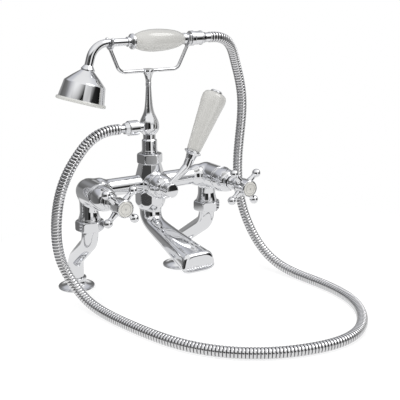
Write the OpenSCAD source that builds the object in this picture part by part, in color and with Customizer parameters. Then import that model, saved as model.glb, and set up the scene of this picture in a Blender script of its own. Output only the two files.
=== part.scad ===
// Deck mounted bath shower mixer: two cranked legs, a mixer body with crosshead valves,
// a bath spout, a lever diverter, a riser with a hose outlet, a cradle and a hand shower.
// Millimetres. The origin is on the deck, midway between the feet. Front is -Y, up is +Z.

/* [Deck and legs] */
// Distance between the centres of the two feet
foot_spacing = 168; // [156:1:180]
// Thickness of the deck that the feet are clamped to
deck_t = 22; // [10:1:30]
// Outer diameter of a leg tube
leg_d = 22; // [20:0.5:24]
// Water bore of a leg
leg_bore_d = 14; // [10:0.5:16]
// Bend radius of a leg, at the tube's middle
leg_bend_r = 24; // [18:1:28]
// Lean of the cranked stretch, from upright
leg_lean = 56; // [48:1:60]
// Diameter of a flange where it meets the deck
flange_d = 51; // [44:1:58]
// Height of a flange
flange_h = 15; // [12:0.5:20]
// Thread diameter of the tail below the deck
tail_d = 26.4; // [25:0.1:28]
// Length of a tail below the deck
tail_len = 58; // [50:1:80]
// Width across the flats of a back nut
back_nut_af = 36; // [33:0.5:42]
// Height of a back nut
back_nut_h = 8; // [6:0.5:12]
// Thickness of a deck washer
deck_washer_t = 3; // [2:0.5:5]

/* [Leg unions] */
// Distance between the two inlets of the body
inlet_spacing = 180; // [170:1:190]
// Height of the underside of a union nut
union_z = 101; // [98:0.5:104]
// Width across the flats of a union nut
union_nut_af = 33; // [31:0.5:38]
// Height of a union nut
union_nut_h = 13.5; // [12:0.5:16]
// Thread diameter inside a union nut
union_thread_d = 26.4; // [25:0.1:28]
// Thickness of the lip that holds the leg in the nut
union_lip = 3.5; // [3:0.5:4]
// Thickness of a union washer
union_washer_t = 2; // [1.5:0.5:3]

/* [Body] */
// Distance from the feet forward to the body
body_reach = 65; // [60:1:70]
// Height of the body's middle
body_z = 153; // [149:1:160]
// Diameter of the bar between the valves
bar_d = 23; // [20:0.5:24]
// Diameter of a valve housing
housing_d = 32; // [30:0.5:34]
// Length of a valve housing, from the inlet forward
housing_len = 33; // [28:0.5:40]
// Diameter of the neck above a union nut
neck_d = 24; // [22:0.5:26]
// Width across the flats of the eight sided boss
boss_af = 38; // [36:0.5:42]
// Largest diameter of the boss, at its corners
boss_d = 42; // [41:0.5:45]
// Height of the top of the boss
boss_top_z = 179; // [174:0.5:184]
// Width across the flats at the top of the boss
boss_top_af = 28; // [25:0.5:32]
// Height of the underside of the boss
boss_low_z = 116; // [112:0.5:120]
// Diameter of the water ways in the body
way_d = 11; // [8:0.5:13]
// Diameter of a valve pocket
pocket_d = 18; // [16:0.5:20]

/* [Valves] */
// Diameter of a valve cover at its rim
bell_d = 34.6; // [33:0.2:37]
// Length of a valve cover
bell_len = 25; // [22:0.5:30]
// Diameter of a valve cover at its nose
bell_nose_d = 20.5; // [18:0.5:22]
// Groove between a housing and its cover
bell_groove = 3; // [1:0.5:5]
// Diameter of a valve spindle
spindle_d = 8; // [7:0.5:9]
// Distance from the inlet forward to the balls of a crosshead
ball_reach = 90; // [86:1:96]
// Distance from a crosshead's axis to its balls
ball_out = 25; // [21:0.5:28]
// Diameter of a crosshead's ball
ball_d = 11.2; // [8:0.2:12]
// Diameter of a crosshead's arm
arm_d = 6.6; // [5:0.2:7.6]
// Diameter of a crosshead's hub
hub_d = 22; // [20:0.5:25]
// Turn of the hot crosshead from a true X
hot_turn = 2; // [-20:1:20]
// Turn of the cold crosshead from a true X
cold_turn = -5; // [-20:1:20]
// Diameter of an index disc
index_d = 19; // [14:0.2:20]

/* [Diverter] */
// Length of the diverter's housing, from the body's middle forward
diverter_len = 22; // [21:0.5:26]
// Diameter of the lever's hub
lever_hub_d = 18.6; // [17:0.2:21]
// Thickness of the lever's hub
lever_hub_t = 6.6; // [6:0.2:9]
// Diameter of the lever's rod at its hub
lever_rod_d = 5.6; // [4.5:0.1:5.8]
// Diameter of the lever's rod below its collar
lever_end_d = 12; // [8:0.2:13]
// Length of the ceramic lever grip
lever_grip_len = 80; // [65:1:85]
// Largest diameter of the lever grip
lever_grip_d = 32; // [26:0.5:34]
// Diameter of the lever grip at its foot
lever_foot_d = 18; // [15:0.5:20]
// Diameter of the button on top of the lever grip
lever_cap_d = 16; // [12:0.5:18]
// Lean of the lever grip, from upright
lever_lean = 26; // [20:0.5:30]

/* [Spout] */
// Distance from the body forward to the nose of the spout
spout_reach = 127; // [110:1:135]
// Height of the top edge of the nose
nose_top_z = 87; // [84:0.5:92]
// Height of the underside of the nose
nose_low_z = 63.5; // [60:0.5:70]
// Width of the nose at its top edge
nose_top_w = 40; // [30:1:44]
// Width of the nose at its underside
nose_low_w = 49; // [40:1:52]
// Diameter of the spout where it leaves the boss
spout_root_d = 29; // [27:0.5:30]
// Wall of the spout
spout_wall = 2.5; // [1.5:0.1:3]

/* [Riser] */
// Width across the flats of the riser nut
riser_nut_af = 30; // [28:0.5:32]
// Height of the riser nut
riser_nut_h = 14; // [12:0.5:16]
// Height of the hose outlet
outlet_z = 228; // [224:0.5:234]
// Diameter of the bulb at the hose outlet
bulb_d = 26.4; // [23:0.2:27]
// Height of the joint between riser and cradle
cradle_joint_z = 283; // [276:0.5:288]
// Diameter of the joint between riser and cradle
joint_d = 7.6; // [6:0.2:9]
// Diameter of the hose nut at the outlet
outlet_nut_d = 19.6; // [18:0.2:21]
// Length of the hose nut at the outlet
outlet_nut_len = 20; // [16:0.5:24]

/* [Cradle] */
// Height of the cradle's bar
cradle_z = 300.5; // [296:0.5:304]
// Diameter of the cradle's rods
rod_d = 4.6; // [4:0.1:5.5]
// Distance from the riser to the fork under the neck
left_fork_x = 53.5; // [52.5:0.5:54.5]
// Distance from the riser to the fork under the tail
right_fork_x = 59.5; // [59:0.5:60.5]
// Distance from the riser to the corner below the left fork
left_bend_x = 41; // [36:0.5:44]
// Distance from the riser to the corner below the right fork
right_bend_x = 43.5; // [38:0.5:46]
// Radius of a corner, at the rod's middle
corner_r = 11; // [6:0.5:12]
// Height of the prongs above the middle of what they hold
prong_h = 6; // [5:0.5:12]

/* [Hand shower] */
// Height of the hand shower's axis above the deck, over the riser
handset_z = 338.5; // [336:0.5:344]
// Rise of the hand shower towards the hose
handset_tilt = 0.7; // [0:0.1:3]
// Diameter of the neck tube
tube_d = 9.4; // [8.4:0.2:10.4]
// Bore of the neck tube
tube_bore_d = 6.6; // [5:0.2:7]
// Bend radius of the neck, at the tube's middle
neck_bend_r = 24.5; // [20:0.5:30]
// Bend of the neck
neck_angle = 73.3; // [65:0.1:85]
// Start of the bend, left of the riser
neck_start = 57.5; // [57:0.5:62]
// Largest diameter of the ceramic grip
grip_d = 28.6; // [24:0.2:32]
// Left end of the ceramic grip, from the riser
grip_left = 22; // [18:0.5:25]
// Right end of the ceramic grip, from the riser
grip_right = 51.5; // [48:0.5:52]
// Diameter of the groove that sits in the right fork
groove_d = 11; // [10:0.2:12]
// Diameter of the hose nut on the hand shower
tail_nut_d = 18.6; // [17:0.2:21]

/* [Rose] */
// Diameter of the rim
rim_d = 63; // [58:0.5:70]
// Thickness of the rim
rim_t = 4.4; // [3:0.1:6]
// Height of the rose above its rim
rose_h = 45.4; // [43:0.2:48]
// Distance from the end of the neck's bend to the rim
rose_drop = 54.4; // [52:0.2:58]
// Height of the rose's shoulder above its rim
shoulder_z = 22.8; // [18:0.2:25]
// Wall of the rose
rose_wall = 1.6; // [1.2:0.1:2]
// Diameter of a jet
jet_d = 1.8; // [1.2:0.1:2.2]
// Rings of jets
jet_rings = 4; // [1:1:4]

/* [Hose] */
// Outer diameter of the hose
hose_d = 14; // [12:0.5:16]
// Bore of the hose
hose_bore_d = 8; // [6:0.5:9]
// Depth of the grooves between the ribs
rib_depth = 0.9; // [0.4:0.1:1.2]
// Number of ribs
ribs = 190; // [100:5:200]

/* [Clearances] */
// Radial gap of a screwed or pushed joint
fit_gap = 0.1; // [0.05:0.01:0.2]
// Radial gap of a part that turns
run_gap = 0.06; // [0.02:0.01:0.1]
// Gap between parts that move past each other
free_gap = 0.4; // [0.3:0.05:0.8]

/* [Hidden] */
$fn = 48;
hull_fn = 24;
chrome = "silver";
ceramic = "ivory";
brass = "goldenrod";
fibre = "darkred";
rubber = "dimgray";
hot = -1;
cold = 1;
over = 1;
// A straight run is this much thinner than the bend that it laps into
seam = 0.2;
lap = 0.6;
// The ball on a prong is this much thicker than its rod
prong_ball = 0.8;

// Legs and their unions
foot_x = foot_spacing / 2;
inlet_x = inlet_spacing / 2;
leg_run = norm([inlet_x - foot_x, body_reach]);
leg_collar_t = 3;
leg_top_z = union_z + union_lip + leg_collar_t;
leg_top_run = union_lip + leg_collar_t + 3;
leg_slope_len = (leg_run - 2 * leg_bend_r * (1 - cos(leg_lean))) / sin(leg_lean);
leg_slope_rise = 2 * leg_bend_r * sin(leg_lean) + leg_slope_len * cos(leg_lean);
leg_foot_run = leg_top_z - leg_top_run - leg_slope_rise;
union_seat_z = leg_top_z + union_washer_t;
union_top_z = union_z + union_nut_h;
flange_collar_d = leg_d + 5;
flange_rim_t = 2.5;
flange_edge = 0.6;
flange_bead = 0.8;
// A tail's free end stands below the back nut; above it the thread is a little thinner
tail_step = 0.4;
tail_free = tail_len - deck_t - deck_washer_t - back_nut_h - over;
union_turn = 12;
neck_foot = 2.4;

// Body and spout
boss_waist_z = body_z + 8;
boss_turn = 22.5;
petal_h = 18;
bar_end_step = 3.5;
spigot_d = 20;
spigot_len = 9;
spout_corner = 5;
spout_fall = 27;
spout_slot_len = 15;
throat_top_y = 16;
throat_low_y = 9;
throat_drop = 9;

// Valves, measured forward from the body's middle
valve_groove_d = housing_d - 3;
cover_rear = housing_len + bell_groove;
cover_front = cover_rear + bell_len;
cartridge_head_d = bell_nose_d - 2;
cartridge_head_len = bell_len * 0.7;
hub_front = ball_reach + 13.5;
hub_rear = cover_front + free_gap + 1.5;
index_depth = 2.5;
hub_edge = 0.8;
screw_head_d = 7;
screw_head_t = 3;
screw_d = 4;
screw_len = 15;
web_t = 3;
spindle_end = hub_front - index_depth - screw_head_t - web_t - over;

// Diverter
diverter_rear = diverter_len + bell_groove;
diverter_front = diverter_rear + bell_len - 2;
lever_plane = diverter_front + free_gap + lever_hub_t / 2;
hub_cap_t = 3.8;
hub_cap_seat = 1.6;
lever_hub_front = diverter_front + free_gap + lever_hub_t;
// The lever's rod runs beside the hub's axis, bends once and rises into the collar
lever_run_angle = 36;
lever_run = 33;
// The rod begins to thicken outside the hub
lever_plain = 10;
lever_offset = lever_hub_d / 2 - lever_rod_d / 2 - 0.35;
lever_bend_r = 12;
lever_rise = 9.2;
lever_turn = 90 - lever_lean - lever_run_angle;
lever_bend_end = [lever_run + lever_bend_r * sin(lever_turn),
    lever_offset + lever_bend_r * (1 - cos(lever_turn))];
lever_tip = lever_bend_end + lever_rise * [cos(lever_turn), sin(lever_turn)];
lever_cap_t = 3;
tie_d = 5;
tie_seat = 6;
tie_head = 2;
lever_collar_len = 12;
// The collar's flange stands this far out of the grip's foot
lever_flange_out = 2.3;
// The grip's taper ends this far below its top, and its widest part begins
lever_taper_end = 22;
lever_swell = 13;
lever_foot_edge = 0.6;

// Riser
riser_nut_z = boss_top_z - 0.5;
riser_nut_top = riser_nut_z + riser_nut_h;
riser_thread_d = 20;
riser_lip = 3;
riser_collar_t = 3;
riser_washer_t = 1.5;
riser_shank_d = 17;
riser_low_z = riser_nut_top - riser_lip - riser_collar_t;
riser_stub_z = riser_low_z - riser_washer_t;
riser_bore_d = 7;
outlet_stub_d = 13;
outlet_thread_d = 15;
outlet_stub_x = 17;
outlet_thread_len = 10;
outlet_thread_end = outlet_stub_x + outlet_thread_len;
riser_nut_turn = 10;
riser_foot_r = 10.6;
riser_column_r = 10.1;
riser_waist_r = 8.3;
// The drop above the bulb: radii and shares of its height
drop_mid_r = 6.6;
drop_top_r = 4.7;
drop_shares = [0.07, 0.21, 0.39, 0.62, 1];
cradle_hub_r = 7.4;

// Hose fittings, each measured along its own axis
ferrule_d = 9.7;
ferrule_bore_d = 6;
ferrule_collar_d = 14.4;
ferrule_collar_t = 2;
ferrule_out = 8.4;
hose_washer_t = 2;
nut_lip = 2.6;
outlet_end_x = outlet_stub_x + outlet_nut_len + ferrule_out;

// Hand shower, measured along its own axis from above the riser
fork_room = rod_d / 2 + 0.7;
tail_flange_d = 14.6;
tail_groove_start = right_fork_x - fork_room;
tail_groove_end = right_fork_x + fork_room;
tail_collar_d = 19.4;
tail_collar_end = 68;
tail_thread_d = 14;
tail_thread_len = 9;
tail_thread_end = tail_collar_end + tail_thread_len;
tail_nut_len = 18;
tail_ferrule_d = 12.4;
tail_ferrule_out = 8;
tail_end = tail_collar_end + tail_nut_len + tail_ferrule_out;
bead_t = 4;
bead_d = 12.4;
cup_d = 19.7;
cup_t = 6;
cup_left = grip_left + 4;
grip_left_d = 17;
grip_right_d = 14.4;
// The grip is thickest here and swells from a narrower left end
grip_mid = 10;
grip_left_run = 32;
grip_left_turn = 60;
grip_left_share = 0.8;
grip_right_run = grip_right - grip_mid - 2;
grip_right_power = 1.3;
left_fork_gap = tube_d / 2 + free_gap;
right_fork_gap = groove_d / 2 + free_gap;

// Rose, measured up from its rim
rose_socket = 5;
rim_w = 3.6;
rim_edge = 1;
skirt_r = rim_d / 2 - 2.3;
shoulder_r = rim_d / 2 - 5;
shoulder_edge = 2.5;
cone_hollow = 0.4;
crown_z = rose_h - 6;
crown_r = 8.8;
jet_pitch = 6;

// Hose route, ending on the outlet's axis and on the hand shower's axis
hose_free_run = [
    [-75, -65, 224], [-90, -64, 214], [-104, -63, 197], [-118, -61, 176], [-128, -58, 148],
    [-132, -55, 116], [-132, -53, 84], [-127, -55, 56], [-117, -66, 32], [-109, -88, 14],
    [-101, -120, 7], [-93, -162, 7], [-81, -210, 7], [-64, -256, 7], [-34, -296, 7], [7, -325, 7],
    [53, -341, 7], [98, -346, 7], [137, -334, 7], [170, -304, 7], [194, -264, 7], [202, -220, 7],
    [199, -176, 7], [193, -136, 7], [186, -102, 14], [178, -76, 32], [170, -58, 60], [164, -44, 94],
    [163, -35, 134], [168, -30, 175], [174, -29, 213], [174, -31, 249], [166, -33, 280],
    [154.5, -38, 304], [142.5, -49, 321.5], [126, -60, 334.5]];
hose_sides = 8;
hose_steps = 10;
function handset_at(u) =
    [u * cos(handset_tilt), -body_reach, handset_z + u * sin(handset_tilt)];
function outlet_at(x) = [-x, -body_reach, outlet_z];
hose_route = concat(
    [for (k = [0:1]) outlet_at(outlet_end_x + k * hose_d)],
    hose_free_run,
    [for (k = [1:-1:0]) handset_at(tail_end + free_gap + k * hose_d)]);
hose_last = len(hose_route) - 1;
function route_at(i) =
    i < 0 ? 2 * hose_route[0] - hose_route[1] :
    i > hose_last ? 2 * hose_route[hose_last] - hose_route[hose_last - 1] : hose_route[i];
function span_of(t) = min(floor(t), hose_last - 1);
function hose_point(t) = let (i = span_of(t), f = t - i)
    (pow(1 - f, 3) * route_at(i - 1) + (3 * pow(f, 3) - 6 * f * f + 4) * route_at(i)
    + (-3 * pow(f, 3) + 3 * f * f + 3 * f + 1) * route_at(i + 1) + pow(f, 3) * route_at(i + 2)) / 6;
function hose_slope(t) = let (i = span_of(t), f = t - i)
    (-pow(1 - f, 2) * route_at(i - 1) + (3 * f * f - 4 * f) * route_at(i)
    + (-3 * f * f + 2 * f + 1) * route_at(i + 1) + f * f * route_at(i + 2)) / 2;
hose_samples = [for (k = [0:hose_last * hose_steps]) hose_point(k / hose_steps)];
hose_run = [for (k = 0, s = 0; k < len(hose_samples);
    s = s + (k + 1 < len(hose_samples) ? norm(hose_samples[k + 1] - hose_samples[k]) : 0), k = k + 1) s];
hose_len = hose_run[len(hose_run) - 1];
hose_table = [for (k = [0:len(hose_run) - 1]) [hose_run[k], k / hose_steps]];
echo(hose_length = hose_len);
// No stretch of the route points this way, so the rings never spin
ring_side = [1, 1, 1];
function unit(v) = v / norm(v);
function hose_ring(s, r) = let (t = lookup(s, hose_table), c = hose_point(t), d = unit(hose_slope(t)),
    a = unit(cross(d, ring_side)), b = cross(d, a))
    [for (k = [0:hose_sides - 1]) let (q = 360 * k / hose_sides) c + r * (cos(q) * a + sin(q) * b)];

// Curves of turned parts. Each runs from upright at the first point to level at the second.
curve_steps = 6;
function curve(p, q) = [for (k = [0:curve_steps]) let (a = 90 * k / curve_steps)
    [p[0] + (q[0] - p[0]) * (1 - cos(a)), p[1] + (q[1] - p[1]) * sin(a)]];
function backwards(v) = [for (k = [len(v) - 1:-1:0]) v[k]];

// Helpers
module turned(outline) {
    rotate_extrude() polygon(outline);
}
module ring(outer, inner, h) {
    difference() {
        cylinder(d = outer, h = h);
        translate([0, 0, -over]) cylinder(d = inner, h = h + 2 * over);
    }
}
module hex_nut(af, h, bore, lip_bore, lip) {
    corner = af / cos(30);
    chamfer = (corner - af) / 2;
    difference() {
        intersection() {
            cylinder(d = corner, h = h, $fn = 6);
            turned([[0, 0], [af / 2, 0], [corner / 2, chamfer], [corner / 2, h - chamfer],
                [af / 2, h], [0, h]]);
        }
        translate([0, 0, -over]) cylinder(d = lip_bore, h = h + 2 * over);
        translate([0, 0, lip]) cylinder(d = bore, h = h);
    }
}
// A bend that starts upright at the origin and leans towards +X
module bend(r, angle, d) {
    translate([r, 0, 0]) rotate([90, 0, 180]) rotate_extrude(angle = angle)
        translate([r, 0]) circle(d = d);
}
module at_inlet(side) {
    translate([side * inlet_x, -body_reach, body_z]) children();
}
module facing_front() {
    rotate([90, 0, 0]) children();
}
module at_valve(side) {
    at_inlet(side) facing_front() children();
}
module at_diverter() {
    translate([0, -body_reach, body_z]) facing_front() children();
}
module at_foot(side) {
    translate([side * foot_x, 0, 0]) children();
}
module at_union(side) {
    translate([side * inlet_x, -body_reach, 0]) children();
}
module at_riser() {
    translate([0, -body_reach, 0]) children();
}
// The outlet's axis is +Z here, away from the riser
module at_outlet() {
    translate([0, -body_reach, outlet_z]) rotate([0, -90, 0]) children();
}
module at_handset() {
    translate([0, -body_reach, handset_z]) rotate([0, -handset_tilt, 0]) children();
}
// The hand shower's axis is +Z here, towards the hose
module along_handset() {
    at_handset() rotate([0, 90, 0]) children();
}
// The rose's axis is +Z here, from the rim up to the neck
module at_rose() {
    at_handset() translate([-neck_start, 0, -neck_bend_r]) rotate([0, -neck_angle, 0])
        translate([0, 0, neck_bend_r]) rotate([0, 90, 0]) translate([0, 0, -rose_drop]) children();
}
// The lever's plane, with +Y up and +Z forward
module at_lever() {
    at_diverter() translate([0, 0, lever_plane]) children();
}
module at_lever_grip() {
    at_lever() rotate([0, 0, lever_run_angle]) translate([lever_tip[0], lever_tip[1], 0])
        rotate([-90, 0, lever_turn - 90]) translate([0, 0, lever_collar_len]) children();
}

// Legs
module leg_solid(side, d, extra) {
    heading = atan2(-body_reach, side * (inlet_x - foot_x));
    slope_start = [leg_bend_r * (1 - cos(leg_lean)), 0, leg_foot_run + leg_bend_r * sin(leg_lean)];
    top_start = [leg_run, 0, leg_top_z - leg_top_run];
    run_d = d - seam;
    at_foot(side) rotate([0, 0, heading]) {
        translate([0, 0, -extra]) cylinder(d = run_d, h = leg_foot_run + extra + lap);
        translate([0, 0, leg_foot_run]) bend(leg_bend_r, leg_lean, d);
        translate(slope_start) rotate([0, leg_lean, 0]) translate([0, 0, -lap])
            cylinder(d = run_d, h = leg_slope_len + 2 * lap);
        translate(top_start) rotate([0, 180, 0]) bend(leg_bend_r, leg_lean, d);
        translate(top_start) translate([0, 0, -lap]) cylinder(d = run_d, h = leg_top_run + extra + lap);
    }
}
module leg(side) {
    color(chrome) difference() {
        union() {
            leg_solid(side, leg_d, 0);
            at_foot(side) translate([0, 0, -tail_len]) {
                cylinder(d = tail_d, h = tail_free);
                cylinder(d = tail_d - tail_step, h = tail_len);
            }
            at_union(side) translate([0, 0, leg_top_z - leg_collar_t])
                cylinder(d = union_thread_d - 2 * fit_gap, h = leg_collar_t);
        }
        leg_solid(side, leg_bore_d, over);
        at_foot(side) translate([0, 0, -tail_len - over]) cylinder(d = leg_bore_d, h = tail_len + over);
    }
}
module flange(side) {
    bore_r = leg_d / 2 + fit_gap;
    collar_r = flange_collar_d / 2;
    color(chrome) at_foot(side) turned(concat(
        [[bore_r, 0], [flange_d / 2 - flange_edge, 0], [flange_d / 2, flange_rim_t / 2]],
        backwards(curve([collar_r, flange_h - 3], [flange_d / 2 - flange_edge, flange_rim_t])),
        [[collar_r + flange_bead, flange_h - 3 * flange_bead],
        [collar_r + flange_bead, flange_h - flange_bead], [collar_r, flange_h], [bore_r, flange_h]]));
}
module deck_washer(side) {
    color(rubber) at_foot(side) translate([0, 0, -deck_t - deck_washer_t])
        ring(flange_d - 6, tail_d + 2 * fit_gap, deck_washer_t);
}
module back_nut(side) {
    bore = tail_d + 2 * fit_gap;
    color(brass) at_foot(side) translate([0, 0, -deck_t - deck_washer_t - back_nut_h])
        hex_nut(back_nut_af, back_nut_h, bore, bore, 0);
}
module union_nut(side) {
    color(chrome) at_union(side) translate([0, 0, union_z]) rotate([0, 0, union_turn])
        hex_nut(union_nut_af, union_nut_h, union_thread_d, leg_d + 2 * fit_gap, union_lip);
}
module union_washer(side) {
    color(fibre) at_union(side) translate([0, 0, leg_top_z])
        ring(union_thread_d - 2 * fit_gap, leg_bore_d, union_washer_t);
}

// Body
module body_neck() {
    thread_r = union_thread_d / 2 - fit_gap;
    foot_r = neck_d / 2 + neck_foot;
    turned(concat(
        [[0, union_seat_z], [thread_r, union_seat_z], [thread_r, union_top_z + free_gap],
        [foot_r, union_top_z + free_gap], [foot_r, union_top_z + 2]],
        backwards(curve([neck_d / 2, union_top_z + 13], [foot_r - 0.4, union_top_z + 2.4])),
        [[neck_d / 2, body_z], [0, body_z]]));
}
module valve_housing() {
    sphere(d = housing_d);
    facing_front() cylinder(d = housing_d, h = housing_len);
    facing_front() cylinder(d = valve_groove_d, h = cover_rear);
}
module bar_end() {
    rotate([0, 90, 0]) turned([[0, 0], [bar_d / 2 + bar_end_step, 0],
        [bar_d / 2 + bar_end_step, housing_d / 2 + over], [bar_d / 2, housing_d / 2 + 6],
        [0, housing_d / 2 + 6]]);
}
// Eight flats on a turned bulb, which leave a petal on each side
module boss_lower() {
    intersection() {
        translate([0, 0, boss_low_z]) rotate([0, 0, boss_turn])
            cylinder(d = boss_af / cos(boss_turn), h = boss_waist_z - boss_low_z, $fn = 8);
        turned(concat([[0, boss_low_z]],
            backwards(curve([boss_d / 2, boss_low_z + petal_h], [spout_root_d / 2 + over, boss_low_z])),
            [[boss_d / 2, boss_waist_z], [0, boss_waist_z]]));
    }
}
module boss_upper() {
    translate([0, 0, boss_waist_z]) rotate([0, 0, boss_turn])
        cylinder(d1 = boss_af / cos(boss_turn), d2 = boss_top_af / cos(boss_turn),
            h = boss_top_z - boss_waist_z, $fn = 8);
}
module body_solid() {
    translate([-inlet_x, -body_reach, body_z]) rotate([0, 90, 0]) cylinder(d = bar_d, h = inlet_spacing);
    for (side = [hot, cold]) {
        at_inlet(side) valve_housing();
        at_inlet(side) rotate([0, 0, side > 0 ? 180 : 0]) bar_end();
        at_union(side) body_neck();
    }
    at_diverter() cylinder(d = housing_d, h = diverter_len);
    at_diverter() cylinder(d = valve_groove_d, h = diverter_rear);
    at_riser() boss_lower();
    at_riser() boss_upper();
    at_riser() translate([0, 0, boss_top_z]) cylinder(d = riser_thread_d, h = riser_stub_z - boss_top_z);
}
module body_ways() {
    translate([-inlet_x, -body_reach, body_z]) rotate([0, 90, 0]) cylinder(d = way_d, h = inlet_spacing);
    for (side = [hot, cold]) {
        at_union(side) translate([0, 0, union_seat_z - over])
            cylinder(d = leg_bore_d, h = body_z - union_seat_z + over);
        at_valve(side) cylinder(d = pocket_d, h = cover_rear + over);
    }
    at_diverter() translate([0, 0, -pocket_d / 2]) cylinder(d = pocket_d, h = diverter_rear + pocket_d);
    at_riser() translate([0, 0, boss_low_z - over]) {
        cylinder(d = way_d, h = riser_stub_z - boss_low_z + 2 * over);
        cylinder(d = spigot_d + 2 * fit_gap, h = spigot_len + over);
    }
}
module mixer_body() {
    color(chrome) difference() {
        body_solid();
        body_ways();
    }
}

// Spout
module spout_root(inset) {
    at_riser() translate([0, 0, boss_low_z - spout_fall / 2])
        cylinder(d = spout_root_d - 2 * inset, h = spout_fall / 2 - inset, $fn = hull_fn);
}
// Four rounded corners across the spout, at a distance forward from the body
module spout_section(top_y, top_z, top_w, low_y, low_z, low_w, inset) {
    at_riser() for (side = [-1, 1]) {
        translate([side * (top_w / 2 - spout_corner), -top_y, top_z - spout_corner])
            sphere(r = spout_corner - inset, $fn = hull_fn);
        translate([side * (low_w / 2 - spout_corner), -low_y, low_z + spout_corner])
            sphere(r = spout_corner - inset, $fn = hull_fn);
    }
}
module spout_throat(inset) {
    width = spout_root_d - 2;
    spout_section(throat_top_y, boss_low_z - throat_drop, width, throat_low_y, boss_low_z - spout_fall,
        width, inset);
}
module spout_nose(inset) {
    spout_section(spout_reach - 14, nose_top_z, nose_top_w, spout_reach - 5, nose_low_z, nose_low_w, inset);
}
module spout_form(inset) {
    hull() {
        spout_root(inset);
        spout_throat(inset);
    }
    hull() {
        spout_throat(inset);
        spout_nose(inset);
    }
}
module spout() {
    color(chrome) difference() {
        union() {
            spout_form(0);
            at_riser() translate([0, 0, boss_low_z - over])
                cylinder(d = spigot_d, h = spigot_len - fit_gap + over);
        }
        spout_form(spout_wall);
        at_riser() translate([0, 0, boss_low_z - spout_fall / 2]) cylinder(d = way_d, h = spout_fall);
        spout_outlet();
    }
}
// The water leaves through the underside, just behind the nose
module spout_outlet() {
    outlet_w = nose_low_w - 4 * spout_corner;
    at_riser() translate([-outlet_w / 2, -spout_reach + 2 * spout_corner, nose_low_z - spout_corner])
        cube([outlet_w, spout_slot_len, 2 * spout_corner]);
}

// Valves
module bell(rear, len) {
    nose_r = bell_nose_d / 2;
    rim_t_bell = 2.5;
    edge = 0.8;
    dome_end = rear + len - 3;
    difference() {
        turned(concat([[0, rear], [bell_d / 2 - edge, rear], [bell_d / 2, rear + edge],
            [bell_d / 2, rear + rim_t_bell]],
            curve([bell_d / 2 - 1, rear + rim_t_bell], [nose_r, dome_end]),
            [[nose_r, rear + len - 1], [nose_r - 1, rear + len], [0, rear + len]]));
        translate([0, 0, rear - over])
            cylinder(d = cartridge_head_d + 2 * fit_gap, h = cartridge_head_len + over + fit_gap);
        translate([0, 0, rear]) cylinder(d = spindle_d + 2 * free_gap, h = len + over);
    }
}
module valve_cover(side) {
    color(chrome) at_valve(side) bell(cover_rear, bell_len);
}
module cartridge(side) {
    depth = cover_rear - 6;
    color(brass) at_valve(side) difference() {
        union() {
            translate([0, 0, cover_rear - depth]) cylinder(d = pocket_d - 2 * fit_gap, h = depth);
            translate([0, 0, cover_rear]) cylinder(d = cartridge_head_d, h = cartridge_head_len);
        }
        translate([0, 0, cover_rear - depth + 10])
            cylinder(d = spindle_d + 2 * run_gap, h = depth + cartridge_head_len);
        translate([0, 0, -over]) cylinder(d = spindle_d - 2, h = cover_rear);
        translate([-pocket_d / 2, 0, cover_rear - depth + 4]) rotate([0, 90, 0])
            cylinder(d = spindle_d - 2, h = pocket_d);
    }
}
module spindle(side) {
    start = cover_rear - 15;
    color(brass) at_valve(side) difference() {
        translate([0, 0, start]) cylinder(d = spindle_d, h = spindle_end - start);
        translate([0, 0, spindle_end - screw_len]) cylinder(d = screw_d + 2 * fit_gap, h = screw_len + over);
    }
}
// A tapered arm and its ball, turned in one piece
module crosshead_arm() {
    start = spindle_d / 2 + 2;
    r = arm_d / 2;
    rotate_extrude() intersection() {
        union() {
            polygon([[0, start], [r + 1.2, start], [r, ball_out - 6], [r, ball_out], [0, ball_out]]);
            translate([0, ball_out]) circle(d = ball_d);
        }
        square([ball_d, ball_out + ball_d]);
    }
}
module crosshead(side, turn) {
    waist_r = spindle_d / 2 + 3.5;
    hub_r = hub_d / 2;
    color(chrome) at_valve(side) rotate([0, 0, turn + 45]) difference() {
        union() {
            turned(concat([[0, hub_rear], [waist_r + 1.5, hub_rear], [waist_r + 1.5, hub_rear + 3],
                [waist_r, hub_rear + 4.5]],
                curve([waist_r, hub_rear + 8], [hub_r, ball_reach - 4]),
                [[hub_r, hub_front - hub_edge], [hub_r - hub_edge, hub_front], [0, hub_front]]));
            for (k = [0:3]) translate([0, 0, ball_reach]) rotate([0, 90, 90 * k]) crosshead_arm();
        }
        translate([0, 0, hub_rear - over])
            cylinder(d = spindle_d + 2 * fit_gap, h = spindle_end - hub_rear + over);
        translate([0, 0, spindle_end - over])
            cylinder(d = screw_d + 2 * fit_gap, h = hub_front - spindle_end);
        translate([0, 0, spindle_end + web_t]) cylinder(d = screw_head_d + 2 * fit_gap, h = hub_front);
        translate([0, 0, hub_front - index_depth])
            cylinder(d = index_d + 2 * fit_gap, h = index_depth + over);
    }
}
module handle_screw(side) {
    color(brass) at_valve(side) {
        translate([0, 0, spindle_end + web_t]) cylinder(d = screw_head_d, h = screw_head_t);
        translate([0, 0, spindle_end - screw_len + over]) cylinder(d = screw_d, h = screw_len + web_t);
    }
}
module index_disc(side) {
    r = index_d / 2;
    color(ceramic) at_valve(side)
        turned([[0, hub_front - index_depth], [r, hub_front - index_depth], [r, hub_front - 0.6],
            [r - 1, hub_front + 0.2], [0, hub_front + 0.6]]);
}

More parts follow.
